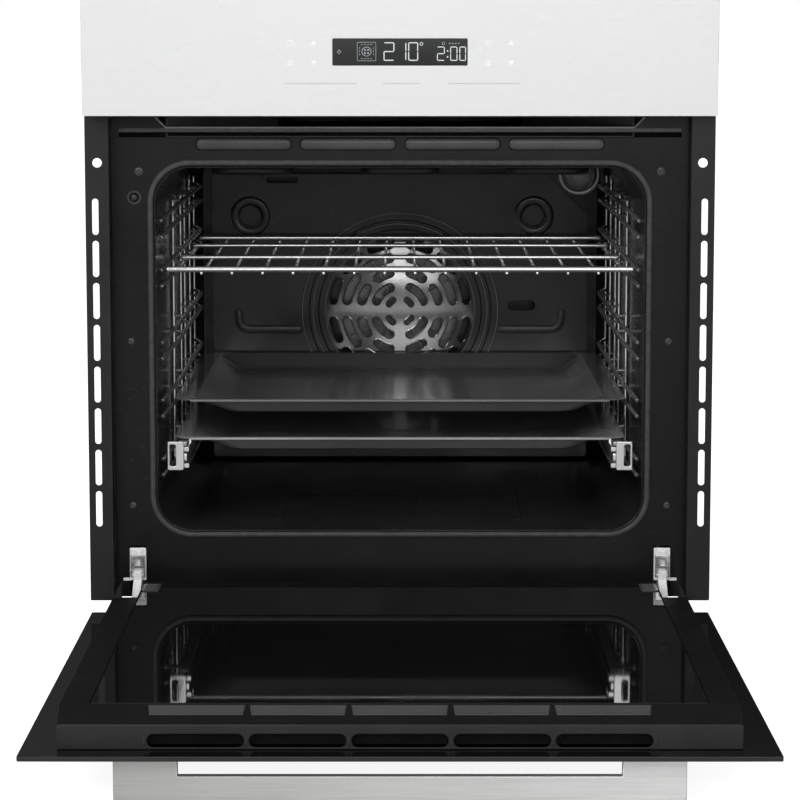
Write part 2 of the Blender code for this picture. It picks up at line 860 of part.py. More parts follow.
def rail_path(side, z):
    """A rail's wire: its front end bends down and out to the wall, and its back end out to the last post."""
    wall = side * (RACK_X - RAIL_SINK)
    return [
        (wall, RAIL_FRONT, z - RAIL_DROP),
        (side * RAIL_X, RAIL_BEND, z),
        (side * RAIL_X, RAIL_BACK - RAIL_BACK_BEND, z),
        (wall, RAIL_BACK + 1, z),
    ]


def rail_stub(side, y, z):
    """The short piece that welds a rail to a post."""
    stub = box(RAIL_X, RACK_X, y - RACK_STUB, y + RACK_STUB, z - RACK_STUB, z + RACK_STUB)
    return mirror_shape(stub, side)


def add_racks():
    """Wire frames on the cavity's walls: upright posts, and rails in pairs for the shelf and trays."""
    lowest = RAIL_LEVELS[0]
    highest = RAIL_LEVELS[-1] + RAIL_PAIR
    ceiling = CAVITY_HIGH - CAVITY_RADIUS + 2
    tops = [(y, highest) for y in RACK_POSTS[:-1]]
    tops += [(RACK_POSTS[-1], ceiling), (RAIL_BACK, ceiling)]
    for name, side in SIDES.items():
        x = side * RACK_X
        wires = [tube([(x, y, lowest - RACK_FOOT), (x, y, top)], RACK_WIRE, 5) for y, top in tops]
        for level in RAIL_LEVELS:
            for z in (level, level + RAIL_PAIR):
                wires.append(tube(rail_path(side, z), RAIL_WIRE, 5))
                outermost = z in (lowest, highest)
                welds = RACK_POSTS if outermost else (RACK_POSTS[0], RACK_POSTS[-1])
                wires += [rail_stub(side, y, z) for y in welds]
        add_part(f"side_rack_{name}", "chrome", wires)


# Shelf, trays and runners


def cross_wire(half, y, z, radius):
    return tube([(-half, y, z), (half, y, z)], radius)


def add_shelf():
    """Two thick wires and two thinner ones across, with a row of rods welded below them."""
    wires = [
        cross_wire(SHELF_FRONT_HALF, SHELF_FRONT, SHELF_Z, SHELF_WIRE),
        cross_wire(SHELF_HALF, SHELF_BACK, SHELF_Z, SHELF_WIRE),
    ]
    for y in SHELF_CROSS_Y:
        wires.append(cross_wire(SHELF_HALF, y, SHELF_Z - SHELF_WIRE + SHELF_CROSS, SHELF_CROSS))
    rod_z = SHELF_Z - SHELF_WIRE - SHELF_ROD + SHELF_BITE
    for n in range(SHELF_RODS):
        x = (n - (SHELF_RODS - 1) / 2) * SHELF_ROD_PITCH
        wires.append(tube([(x, SHELF_FRONT - 2, rod_z), (x, SHELF_BACK + 1, rod_z)], SHELF_ROD, 5))
    add_part("wire_shelf", "chrome", wires, pivot=(0, SHELF_FRONT, SHELF_Z))


def tray_outline(half, inset, radius):
    return rounded(-half, half, TRAY_FRONT + inset, TRAY_BACK - inset, radius, 4)


def add_tray(name, rim_z):
    """A shallow pan with a flat rim and sloping walls."""
    wall_inset = TRAY_HALF - TRAY_WALL
    floor_z = rim_z - TRAY_DEPTH
    rings = [
        (tray_outline(TRAY_FLOOR, wall_inset, TRAY_FLOOR_CORNER), floor_z + SHEET),
        (tray_outline(TRAY_WALL, TRAY_LEDGE, TRAY_CORNER), rim_z),
        (tray_outline(TRAY_HALF, 0, TRAY_RIM_CORNER), rim_z),
        (tray_outline(TRAY_HALF, 0, TRAY_RIM_CORNER), rim_z - SHEET),
        (tray_outline(TRAY_WALL + 0.8, TRAY_LEDGE - 0.8, TRAY_CORNER), rim_z - SHEET),
        (tray_outline(TRAY_FLOOR + 0.6, wall_inset - 0.6, TRAY_FLOOR_CORNER), floor_z),
    ]
    add_part(name, "enamel", [tub(rings, "z")], pivot=(0, TRAY_FRONT, rim_z))


def runner_channel():
    """The fixed rail's section: a C that opens towards the middle of the oven."""
    return [
        (RUNNER_IN, RUNNER_LOW),
        (RUNNER_OUT, RUNNER_LOW),
        (RUNNER_OUT, RUNNER_HIGH),
        (RUNNER_IN, RUNNER_HIGH),
        (RUNNER_IN, RUNNER_HIGH - SHEET),
        (RUNNER_OUT - SHEET, RUNNER_HIGH - SHEET),
        (RUNNER_OUT - SHEET, RUNNER_LOW + SHEET),
        (RUNNER_IN, RUNNER_LOW + SHEET),
    ]


def add_runners():
    """Telescopic runners: a fixed rail on each rack, and a slide inside it that carries the lower tray."""
    near = SHEET + GAP
    low = RUNNER_LOW + near
    high = RUNNER_HIGH - near
    slide = box(SLIDE_IN, RUNNER_OUT - near, SLIDE_FRONT, RUNNER_BACK - 2, low, high)
    bracket = box(
        RUNNER_IN - 3, BRACKET_OUT, BRACKET_FRONT, BRACKET_BACK, RUNNER_LOW - 0.5, LOWER_TRAY_Z - GAP
    )
    rests = [
        box(SLIDE_IN, SLIDE_IN + REST_WIDTH, y, y + REST_LENGTH, RUNNER_HIGH - 5, LOWER_TRAY_Z - near)
        for y in REST_STARTS
    ]
    groove = box(
        SLIDE_IN - 5,
        SLIDE_IN + 2,
        SLIDE_GROOVE,
        RUNNER_BACK + 5,
        RUNNER_LOW + SLIDE_EDGE,
        RUNNER_HIGH - SLIDE_EDGE,
    )
    for name, side in SIDES.items():
        rail = prism(mirrored(runner_channel(), side), "y", RUNNER_FRONT, RUNNER_BACK)
        add_part(f"runner_rail_{name}", "steel", [rail])
        shapes = [mirror_shape(shape, side) for shape in (slide, bracket, *rests)]
        pivot = (side * RUNNER_OUT, RUNNER_FRONT, RUNNER_LOW)
        add_part(f"runner_slide_{name}", "chrome", shapes, [mirror_shape(groove, side)], pivot)


# Control panel and what cools the oven


def rectangle(half, low, high, inset=0.0):
    """A rectangle centred on the oven's middle, anticlockwise."""
    left, right = -half + inset, half - inset
    return [(left, low + inset), (right, low + inset), (right, high - inset), (left, high - inset)]


def add_control_panel():
    """The touch glass, the carrier that holds it, and the display with the touch board behind it."""
    face = PANEL_FACE_Y
    outline = rounded(-PANEL_HALF, PANEL_HALF, PANEL_LOW, PANEL_HIGH, 2, 3)
    add_part("control_panel_glass", "panel_glass", [prism(outline, "y", face, face + GLASS)])

    front = face + GLASS + GAP
    low = PANEL_LOW + CARRIER_EDGE
    high = PANEL_HIGH - CARRIER_EDGE
    half = PANEL_HALF - CARRIER_SIDE
    back = FRAME_Y - GAP
    inside = rectangle(CARRIER_NECK_HALF, low, high, CARRIER_WALL)
    neck = rectangle(CARRIER_NECK_HALF, low + SKIM, high - SKIM)
    outside = rectangle(half, low, high)
    carrier = tub(
        [
            (inside, front + CARRIER_WALL),
            (inside, back),
            (neck, back),
            (neck, -GAP),
            (outside, -GAP),
            (outside, front),
        ],
        "y",
    )
    window = rectangle(DISPLAY_HALF, DISPLAY_LOW, DISPLAY_HIGH, -WINDOW_MARGIN)
    hole = prism(window, "y", front - CARRIER_WALL, front + 2 * CARRIER_WALL)
    add_part("control_panel_carrier", "plastic", [carrier], [hole])

    screen = rectangle(DISPLAY_HALF, DISPLAY_LOW, DISPLAY_HIGH)
    case = rectangle(MODULE_HALF, DISPLAY_LOW - MODULE_MARGIN, DISPLAY_HIGH + MODULE_MARGIN)
    board = rectangle(
        TOUCH_BOARD_HALF, DISPLAY_LOW - TOUCH_BOARD_MARGIN, DISPLAY_HIGH + TOUCH_BOARD_MARGIN
    )
    module = [
        prism(screen, "y", front + SKIM, front + 6),
        prism(case, "y", front + 4, front + 11),
        prism(board, "y", front + 10.5, front + 10.5 + TOUCH_BOARD),
    ]
    add_part("display_module", "display", module)


def duct_section(half, inset):
    return rectangle(half, OUTLET_Z - DUCT_BELOW, OUTLET_Z + DUCT_ABOVE, inset)


def add_cooling():
    """The blower on top of the cavity, and the flat duct that carries its air out above the door."""
    front = FRAME_Y + SHEET + GAP
    duct = tub(
        [
            (duct_section(DUCT_HALF, DUCT_WALL), DUCT_BACK - DUCT_WALL),
            (duct_section(DUCT_HALF, DUCT_WALL), DUCT_THROAT),
            (duct_section(OUTLET_HALF, DUCT_WALL), front),
            (duct_section(OUTLET_HALF, 0), front),
            (duct_section(DUCT_HALF, 0), DUCT_THROAT),
            (duct_section(DUCT_HALF, 0), DUCT_BACK),
        ],
        "y",
    )
    roof = OUTLET_Z + DUCT_ABOVE
    inlet = prism(circle(0, COOLER_Y, COOLER_RADIUS - 8, 20), "z", roof - 3, roof + 3)
    add_part("air_duct", "galvanised", [duct], [inlet])

    wall = COOLER_RADIUS - 1
    eye = COOLER_RADIUS - COOLER_EYE
    section = [
        (wall, COOLER_LOW - 4),
        (COOLER_RADIUS, COOLER_LOW - 4),
        (COOLER_RADIUS, COOLER_HIGH),
        (eye, COOLER_HIGH),
        (eye, COOLER_HIGH - 1),
        (wall, COOLER_HIGH - 1),
    ]
    housing = turned(section, "z", 0, COOLER_Y, 24, closed=True)
    add_part("cooling_fan_housing", "galvanised", [housing])

    low = COOLER_WHEEL_LOW
    inside = low + 0.5
    blade = box(*COOLER_BLADES, -0.5, 0.5, inside, low + COOLER_BLADE_HEIGHT)
    hub_top = low + COOLER_HUB_HEIGHT
    wheel = [
        turned([(COOLER_WHEEL_RADIUS, low), (COOLER_WHEEL_RADIUS, low + 1)], "z", 0, COOLER_Y, 20),
        turned([(COOLER_HUB, inside), (COOLER_HUB, hub_top)], "z", 0, COOLER_Y, 10),
        *blades(blade, FAN_BLADES, "Z", (0, COOLER_Y, 0)),
    ]
    bore_radius = COOLER_SHAFT + GAP
    bore = turned([(bore_radius, low + 6), (bore_radius, hub_top + 6)], "z", 0, COOLER_Y, 10)
    add_part("cooling_fan_wheel", "plastic", wheel, [bore], (0, COOLER_Y, COOLER_LOW))

    bracket = COOLER_HIGH + GAP
    can_top = bracket + COOLER_MOTOR_HEIGHT
    motor = [
        turned([(COOLER_MOTOR, bracket + 1), (COOLER_MOTOR, can_top)], "z", 0, COOLER_Y, 20),
        turned([(COOLER_SHAFT, low + 7), (COOLER_SHAFT, bracket + 5)], "z", 0, COOLER_Y, 10),
        box(-COOLER_RADIUS, COOLER_RADIUS, COOLER_Y - 9, COOLER_Y + 9, bracket, bracket + 2),
    ]
    add_part("cooling_fan_motor", "galvanised", motor)


def add_electrics():
    """The power board beside the blower, the mains terminals, and the gland for the cord."""
    supply = [box(*BOARD, BOARD_Z, BOARD_Z + BOARD_THICK)]
    for left, right, near, far, height in (TRANSFORMER, CAPACITORS):
        supply.append(box(left, right, near, far, BOARD_Z + BOARD_THICK - 0.5, BOARD_Z + height))
    add_part("power_board", "board", supply)

    left = TERMINAL_X - TERMINAL_HALF
    right = TERMINAL_X + TERMINAL_HALF
    near = BODY_BACK - TERMINAL_DEPTH
    low, step, high = TERMINAL_Z
    terminal = [
        box(left, right, near, BODY_BACK - 2, low, step),
        box(left, right, near, BODY_BACK - TERMINAL_STEP, step - 1, high),
    ]
    add_part("terminal_block", "ceramic", terminal)
    gland = [
        (GLAND_RADIUS, BODY_BACK - GLAND_DEPTH),
        (GLAND_RADIUS, BODY_BACK + GAP + SKIM),
        (GLAND_FLANGE, BODY_BACK + GAP + SKIM),
        (GLAND_FLANGE, BODY_BACK + 5),
        (GLAND_BORE, BODY_BACK + 5),
        (GLAND_BORE, BODY_BACK - GLAND_DEPTH),
    ]
    add_part("cable_gland", "plastic", [turned(gland, "y", CABLE_X, CABLE_Z, 16, closed=True)])


def add_door_switch():
    """The button in the front frame that the closing door presses, and the switch behind it."""
    end = SWITCH_TIP + SWITCH_LENGTH
    button = [(SWITCH_RADIUS, end), (SWITCH_RADIUS, SWITCH_TIP + 1), (SWITCH_TIP_RADIUS, SWITCH_TIP)]
    shape = turned(button, "y", SWITCH_X, SWITCH_Z, 12)
    add_part("door_switch_button", "plastic", [shape], pivot=(SWITCH_X, SWITCH_TIP, SWITCH_Z))
    front = FRAME_Y + SHEET + GAP
    case = box(SWITCH_X - 11, SWITCH_X + 5, front, SWITCH_BACK, SWITCH_Z - 10, SWITCH_Z + 10)
    bore_radius = SWITCH_RADIUS + 0.4
    bore = turned([(bore_radius, 0), (bore_radius, end + SWITCH_TRAVEL)], "y", SWITCH_X, SWITCH_Z, 12)
    add_part("door_switch", "plastic", [case], [bore])


# Door: its shapes are made closed, then turned open about the hinge


def opened(shape):
    points, faces = shape
    return [(x, PIVOT_Y - (z - PIVOT_Z), PIVOT_Z + (y - PIVOT_Y)) for x, y, z in points], faces


def door_box(x0, x1, up0, up1, deep0, deep1):
    """A box in the open door, from its lower edge up and from its outer face in."""
    face = PANEL_FACE_Y
    return opened(box(x0, x1, face + deep0, face + deep1, DOOR_BOTTOM_Z + up0, DOOR_BOTTOM_Z + up1))


def add_door_part(name, material, shapes, cuts=()):
    add_part(name, material, shapes, cuts, (0, PIVOT_Y, PIVOT_Z))


def add_door_glass():
    outline = rounded(-DOOR_HALF, DOOR_HALF, DOOR_BOTTOM_Z, DOOR_BOTTOM_Z + DOOR_HEIGHT, 2, 3)
    outer = opened(prism(outline, "y", PANEL_FACE_Y, PANEL_FACE_Y + GLASS))
    add_door_part("door_outer_glass", "door_glass", [outer])
    half = PROFILE_IN - GAP
    high = DOOR_FRAME_HIGH - DOOR_RAIL
    middle = door_box(-half, half, DOOR_SILL, high - 1, *MIDDLE_GLASS)
    add_door_part("door_middle_glass", "door_glass", [middle])
    inner = door_box(
        -half, half, DOOR_SILL + GAP, high - GAP, INNER_GLASS_DEPTH - GLASS, INNER_GLASS_DEPTH
    )
    add_door_part("door_inner_glass", "door_glass", [inner])


def add_door_profiles():
    """The steel channels along the door's sides, open towards the outer glass and over the hinges."""
    near = GLASS + GAP
    high = DOOR_FRAME_HIGH - DOOR_RAIL - GAP
    inner = PROFILE_IN
    outer = DOOR_FRAME_HALF
    low = DOOR_FRAME_LOW
    face = DOOR_DEPTH - SHEET
    inside = 2 * SKIM
    shapes = [
        door_box(inner, inner + SHEET, low, high, near, DOOR_DEPTH),
        door_box(outer - SHEET, outer, low, high, near, DOOR_DEPTH),
        door_box(inner + inside, outer - inside, HINGE_CLEAR, high, face, DOOR_DEPTH - FLUSH),
    ]
    for name, side in SIDES.items():
        sided = [mirror_shape(shape, side) for shape in shapes]
        add_door_part(f"door_side_profile_{name}", "painted", sided)


def vent_cut(n):
    """One of the row of slots in the door's upper edge."""
    x = (n - (DOOR_VENTS - 1) / 2) * DOOR_VENT_PITCH
    half_length = DOOR_VENT_LENGTH / 2
    half_height = DOOR_VENT_HEIGHT / 2
    middle = PANEL_FACE_Y + DOOR_VENT_DEPTH
    slot = rounded(
        x - half_length,
        x + half_length,
        middle - half_height,
        middle + half_height,
        half_height - SKIM,
        3,
    )
    top = DOOR_BOTTOM_Z + DOOR_FRAME_HIGH
    return opened(prism(slot, "z", top - CUT_REACH, top + CUT_REACH))


def door_section(outline, low, high):
    """A solid along x in the open door, with its section given as pairs of up and deep."""
    points = [(PANEL_FACE_Y + deep, DOOR_BOTTOM_Z + up) for up, deep in outline]
    return opened(prism(points, "x", low, high))


def add_door_rails():
    """The vented trim along the door's upper edge, bent back to the inner glass, and the sill below it."""
    near = GLASS + GAP
    half = DOOR_FRAME_HALF
    top = DOOR_FRAME_HIGH
    low = top - DOOR_RAIL
    bend = DOOR_DEPTH - DOOR_CHAMFER
    trim = [
        (top, near),
        (top, bend),
        (low + 1, DOOR_DEPTH),
        (low, DOOR_DEPTH),
        (low, DOOR_DEPTH - SHEET),
        (top - SHEET, bend - SHEET / 2),
        (top - SHEET, near),
    ]
    cheek = [(low, near), (top - SKIM, near), (top - SKIM, bend - SKIM), (low, DOOR_DEPTH - SKIM)]
    shapes = [
        door_section(trim, -half, half),
        door_section(cheek, -half + SKIM, -half + SHEET),
        door_section(cheek, half - SHEET, half - SKIM),
    ]
    add_door_part("door_top_rail", "painted", shapes, [vent_cut(n) for n in range(DOOR_VENTS)])

    half = PROFILE_IN - GAP
    low = DOOR_FRAME_LOW
    face = DOOR_DEPTH - SHEET
    shapes = [
        door_box(-half, half, low, low + SHEET, near, DOOR_DEPTH),
        door_box(-half + SKIM, half - SKIM, low + SKIM, DOOR_SILL, face, DOOR_DEPTH - FLUSH),
    ]
    add_door_part("door_bottom_rail", "painted", shapes)


def add_handle():
    face = PANEL_FACE_Y
    inner = HANDLE_HALF - HANDLE_LEG
    outline = [
        (-HANDLE_HALF, face - HANDLE_REACH),
        (HANDLE_HALF, face - HANDLE_REACH),
        (HANDLE_HALF, face - GAP),
        (inner, face - GAP),
        (inner, face - HANDLE_GAP),
        (-inner, face - HANDLE_GAP),
        (-inner, face - GAP),
        (-HANDLE_HALF, face - GAP),
    ]
    low = DOOR_BOTTOM_Z + HANDLE_UP
    add_door_part("door_handle", "handle", [opened(prism(outline, "z", low, low + HANDLE_THICK))])


def cross_pin(middle, half, y, z, radius, sides):
    """A round bar along x."""
    return tube([(middle - half, y, z), (middle + half, y, z)], radius, sides)


def add_hinges():
    """Each hinge: an arm hooked into the body, a pin, a channel inside the door's edge, and a lock lever."""
    middle = HINGE_X
    half = HINGE_HALF
    channel = [
        door_box(
            middle - half, middle - half + HINGE_PLATE, CHANNEL_LOW, CHANNEL_HIGH, CHANNEL_NEAR, CHANNEL_FAR
        ),
        door_box(
            middle + half - HINGE_PLATE, middle + half, CHANNEL_LOW, CHANNEL_HIGH, CHANNEL_NEAR, CHANNEL_FAR
        ),
        door_box(
            middle - half + SKIM,
            middle + half - SKIM,
            CHANNEL_FLOOR,
            CHANNEL_HIGH - SKIM,
            CHANNEL_NEAR + FLUSH,
            CHANNEL_NEAR + 1.5,
        ),
    ]
    pin_hole = cross_pin(middle, 20, PIVOT_Y, PIVOT_Z, PIN_RADIUS + GAP, 12)
    pin = cross_pin(middle, half + PIN_OVERHANG, PIVOT_Y, PIVOT_Z, PIN_RADIUS, 12)

    eye = [(PIVOT_Y + y, PIVOT_Z + z) for y, z in circle(0, 0, ARM_EYE)]
    near, far = ARM_PLATE_Y
    low = ARM_PLATE_LOW
    tab_low = low - 0.5
    tab_start = middle + ARM_PLATE_HALF - 1
    arm = [
        prism(ARM_OUTLINE, "x", middle - ARM_HALF, middle + ARM_HALF),
        prism(eye, "x", middle - ARM_HALF, middle + ARM_HALF),
        box(middle - ARM_PLATE_HALF, middle + ARM_PLATE_HALF, near, far, low, ARM_PLATE_HIGH),
        box(tab_start, middle + ARM_TAB_END, near, far, tab_low, tab_low + ARM_TAB_HEIGHT),
        cross_pin(middle, LOCK_PIN_HALF, LOCK_Y, LOCK_Z, LOCK_PIN, 8),
    ]

    inner, outer = LOCK_CHEEK
    bridge_low, bridge_high = LOCK_BRIDGE
    window_low, window_high = LOCK_WINDOW
    lever = [
        prism(LOCK_OUTLINE, "x", middle - outer, middle - inner),
        prism(LOCK_OUTLINE, "x", middle + inner, middle + outer),
        box(middle - outer + SKIM, middle + outer - SKIM, *LOCK_BRIDGE_Y, bridge_low, bridge_high),
    ]
    lever_cuts = [
        cross_pin(middle, 20, LOCK_Y, LOCK_Z, LOCK_PIN + GAP, 8),
        box(middle - 2.5, middle + 2.5, 0, LOCK_Y, window_low, window_high),
    ]
    for name, side in SIDES.items():
        hole = mirror_shape(pin_hole, side)
        add_door_part(f"hinge_channel_{name}", "steel", [mirror_shape(s, side) for s in channel], [hole])
        add_door_part(f"hinge_pin_{name}", "steel", [mirror_shape(pin, side)])
        add_part(f"hinge_arm_{name}", "steel", [mirror_shape(s, side) for s in arm], [hole])
        shapes = [mirror_shape(s, side) for s in lever]
        cuts = [mirror_shape(s, side) for s in lever_cuts]
        add_part(f"hinge_lock_{name}", "steel", shapes, cuts, (side * middle, LOCK_Y, LOCK_Z))


def build():
    clear_scene()
    add_casing()
    add_front_frame()
    add_flanges()
    add_cavity()
    add_gasket()
    add_air_panel()
    add_fan()
    add_heaters()
    add_lamp()
    add_probe()
    add_racks()
    add_shelf()
    add_tray("baking_tray", UPPER_TRAY_Z)
    add_tray("telescopic_tray", LOWER_TRAY_Z)
    add_runners()
    add_control_panel()
    add_cooling()
    add_electrics()
    add_door_switch()
    add_door_glass()
    add_door_profiles()
    add_door_rails()
    add_handle()
    add_hinges()


build()
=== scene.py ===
"""Looks of a built-in wall oven with its door open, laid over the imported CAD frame.

Lengths are in millimetres in the design frame until a mesh is published: x runs to the right, y from
the mounting flange's front face into the cabinet, and z up from the base. Door pieces use the door's
own frame: x, then up from the door's lower edge, then deep from its outer face.
"""

import math

import bmesh
import bpy
from mathutils import Matrix, Vector


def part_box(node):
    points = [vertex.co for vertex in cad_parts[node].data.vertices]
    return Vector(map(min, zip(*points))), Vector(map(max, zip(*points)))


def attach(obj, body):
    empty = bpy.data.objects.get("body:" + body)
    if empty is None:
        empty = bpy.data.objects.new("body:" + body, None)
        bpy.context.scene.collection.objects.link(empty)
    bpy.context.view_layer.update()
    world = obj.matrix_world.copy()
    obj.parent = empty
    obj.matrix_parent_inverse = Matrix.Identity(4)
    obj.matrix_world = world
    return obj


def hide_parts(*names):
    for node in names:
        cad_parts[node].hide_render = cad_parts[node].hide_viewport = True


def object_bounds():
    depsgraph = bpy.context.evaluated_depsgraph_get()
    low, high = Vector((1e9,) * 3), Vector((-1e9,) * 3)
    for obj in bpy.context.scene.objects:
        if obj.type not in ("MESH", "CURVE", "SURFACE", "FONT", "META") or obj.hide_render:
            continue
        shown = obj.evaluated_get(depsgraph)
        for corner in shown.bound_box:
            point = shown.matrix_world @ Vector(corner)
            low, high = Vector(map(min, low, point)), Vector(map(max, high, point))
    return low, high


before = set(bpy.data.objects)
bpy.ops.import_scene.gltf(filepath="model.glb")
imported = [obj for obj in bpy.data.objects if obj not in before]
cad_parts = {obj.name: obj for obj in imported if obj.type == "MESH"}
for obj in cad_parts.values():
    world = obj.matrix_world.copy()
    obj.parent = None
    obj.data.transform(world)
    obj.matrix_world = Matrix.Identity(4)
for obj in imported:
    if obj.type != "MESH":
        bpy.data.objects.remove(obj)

# Camera
CAMERA_AT = (0.0, -2.63069, 0.5501)
CAMERA_PITCH_DEG = 6.349
CAMERA_LENS = 111.99
CAMERA_SHIFT_Y = -0.12

camera_data = bpy.data.cameras.new("camera")
camera = bpy.data.objects.new("camera", camera_data)
bpy.context.scene.collection.objects.link(camera)
bpy.context.scene.camera = camera
camera.location = CAMERA_AT
camera.rotation_euler = (math.radians(90 - CAMERA_PITCH_DEG), 0, 0)
camera_data.lens = CAMERA_LENS
camera_data.shift_y = CAMERA_SHIFT_Y

cad_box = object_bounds()

MM = 0.001
ORIGIN_Y = 275.0
SHEET = 1.2
SIDES = {"left": -1, "right": 1}
DESIGN = Matrix.Translation((0, -ORIGIN_Y * MM, 0)) @ Matrix.Scale(MM, 4)
ARC_STEPS = 10
FILLET_STEPS = 5
SHARP_DEG = 32
WELD_MM = 0.002
SLIVER_MM = 0.0005
FAN_Z = 235.0


# Places from the frame


def span(node):
    """A CAD node's box in the design frame: x0, x1, y0, y1, z0, z1."""
    low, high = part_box(node)
    lows = [value / MM for value in low]
    highs = [value / MM for value in high]
    return lows[0], highs[0], lows[1] + ORIGIN_Y, highs[1] + ORIGIN_Y, lows[2], highs[2]


DOOR_EDGE_Y = span("door_outer_glass")[3]
DOOR_FACE_Z = span("door_outer_glass")[4]
DOOR = DESIGN @ Matrix(((1, 0, 0, 0), (0, -1, 0, DOOR_EDGE_Y), (0, 0, 1, DOOR_FACE_Z), (0, 0, 0, 1)))


def door_span(node):
    """A door node's box in the door's own frame: x0, x1, up0, up1, deep0, deep1."""
    x0, x1, y0, y1, z0, z1 = span(node)
    return x0, x1, DOOR_EDGE_Y - y1, DOOR_EDGE_Y - y0, z0 - DOOR_FACE_Z, z1 - DOOR_FACE_Z


# Shapes: each is a list of points and a list of faces


def joined(shapes):
    """Several shapes as one list of points and one of faces."""
    points = []
    faces = []
    for more_points, more_faces in shapes:
        start = len(points)
        points += [tuple(point) for point in more_points]
        faces += [tuple(start + index for index in face) for face in more_faces]
    return points, faces


def mirrored(shape):
    points, faces = shape
    return [(-x, y, z) for x, y, z in points], faces


def sided(shape, side):
    return mirrored(shape) if side < 0 else shape


def loft(rings, closed=False):
    """Skin over rings of equal length. An open loft is capped at both ends."""
    count = len(rings[0])
    points = [point for ring in rings for point in ring]
    rows = len(rings)
    faces = []
    for row in range(rows if closed else rows - 1):
        here = row * count
        there = (row + 1) % rows * count
        for k in range(count):
            after = (k + 1) % count
            faces.append((here + k, here + after, there + after, there + k))
    if not closed:
        faces.append(tuple(range(count)))
        faces.append(tuple(range((rows - 1) * count, rows * count)))
    return points, faces


def on_axis(axis, a, b, level):
    """A point of a plane across the axis, as x, y, z."""
    if axis == "x":
        return level, a, b
    if axis == "y":
        return a, level, b
    return a, b, level


def ring_at(outline, axis, level):
    return [on_axis(axis, a, b, level) for a, b in outline]


def rounded(low_a, high_a, low_b, high_b, radius, steps=ARC_STEPS):
    """A rectangle with round corners, anticlockwise."""
    radius = min(radius, (high_a - low_a) / 2 - 0.01, (high_b - low_b) / 2 - 0.01)
    corners = [
        (high_a - radius, high_b - radius, 0),
        (low_a + radius, high_b - radius, 90),
        (low_a + radius, low_b + radius, 180),
        (high_a - radius, low_b + radius, 270),
    ]
    outline = []
    for a, b, start in corners:
        for n in range(steps + 1):
            turn = math.radians(start + 90 * n / steps)
            outline.append((a + radius * math.cos(turn), b + radius * math.sin(turn)))
    return outline


def circle(a, b, radius, steps=32):
    turns = [math.tau * n / steps for n in range(steps)]
    return [(a + radius * math.cos(turn), b + radius * math.sin(turn)) for turn in turns]


def plate(outlines, axis, low, high, edge=0.4, steps=1):
    """A flat plate across the axis with rounded edges. The first outline is its rim, the rest holes."""
    curve = bpy.data.curves.new("plate", "CURVE")
    curve.dimensions = "2D"
    curve.fill_mode = "BOTH"
    edge = min(edge, (high - low) / 2 - 0.01)
    curve.extrude = (high - low) / 2 - edge
    curve.bevel_depth = edge
    curve.bevel_resolution = steps
    curve.offset = -edge
    for outline in outlines:
        spline = curve.splines.new("POLY")
        spline.points.add(len(outline) - 1)
        for point, (a, b) in zip(spline.points, outline):
            point.co = (a, b, 0, 1)
        spline.use_cyclic_u = True
    item = bpy.data.objects.new("plate", curve)
    bpy.context.scene.collection.objects.link(item)
    graph = bpy.context.evaluated_depsgraph_get()
    mesh = bpy.data.meshes.new_from_object(item.evaluated_get(graph))
    middle = (low + high) / 2
    points = [on_axis(axis, v.co.x, v.co.y, middle + v.co.z) for v in mesh.vertices]
    faces = [tuple(face.vertices) for face in mesh.polygons]
    bpy.data.objects.remove(item)
    bpy.data.curves.remove(curve)
    bpy.data.meshes.remove(mesh)
    return points, faces


def block(x0, x1, y0, y1, z0, z1, edge=0.5, corner=None, axis="z"):
    """A box with rounded edges and, round its axis, round corners."""
    spans = {"x": ((y0, y1, z0, z1), (x0, x1)), "y": ((x0, x1, z0, z1), (y0, y1))}
    outline, (low, high) = spans.get(axis, ((x0, x1, y0, y1), (z0, z1)))
    radius = edge if corner is None else corner
    return plate([rounded(*outline, max(radius, 0.05), 4)], axis, low, high, edge)


def lathe(profile, axis, a, b, steps=32):
    """A solid of revolution from pairs of radius and level. It's closed where the radius is nought."""
    rings = [ring_at(circle(a, b, max(radius, 0.0005), steps), axis, level) for radius, level in profile]
    return loft(rings)


def hoop(profile, axis, a, b, steps=48):
    """A ring of revolution round a closed section of radius and level."""
    rings = [ring_at(circle(a, b, radius, steps), axis, level) for radius, level in profile]
    return loft(rings, closed=True)


def corner_curve(start, corner, end):
    """Points from start to end, on a curve that leans towards the corner."""
    steps = [n / FILLET_STEPS for n in range(FILLET_STEPS + 1)]
    return [start * (1 - t) ** 2 + corner * 2 * t * (1 - t) + end * t * t for t in steps]


def filleted(points, radius):
    """The path with each inner corner rounded off."""
    points = [Vector(point) for point in points]
    path = [points[0]]
    for before, corner, after in zip(points, points[1:], points[2:]):
        back = before - corner
        ahead = after - corner
        reach = min(radius, back.length * 0.48, ahead.length * 0.48)
        start = corner + back.normalized() * reach
        end = corner + ahead.normalized() * reach
        path += corner_curve(start, corner, end)
    path.append(points[-1])
    return path


def wire(points, radius, fillet=0.0, sides=10, closed=False, up=(0, 0, 1)):
    """A round bar along a path, with rounded tips when it is open."""
    path = filleted(points, fillet) if fillet else [Vector(point) for point in points]
    if not closed:
        path = with_tips(path, radius)
    count = len(path)
    up = Vector(up)
    normal = None
    rings = []
    for index, point in enumerate(path):
        before = path[index - 1] if closed or index else point
        after = path[(index + 1) % count] if closed or index + 1 < count else point
        along = (after - before).normalized()
        start = normal or (up if abs(along.dot(up)) < 0.95 else Vector((1, 0, 0)))
        normal = (start - along * start.dot(along)).normalized()
        across = along.cross(normal)
        size = radius * tip_size(index, count) if not closed else radius
        ring = []
        for n in range(sides):
            turn = math.tau * n / sides
            reach = normal * math.cos(turn) + across * math.sin(turn)
            ring.append(tuple(point + reach * size))
        rings.append(ring)
    return loft(rings, closed)


TIP_STEPS = ((0.0, 0.45), (0.12, 0.75), (0.4, 0.95), (0.9, 1.0))


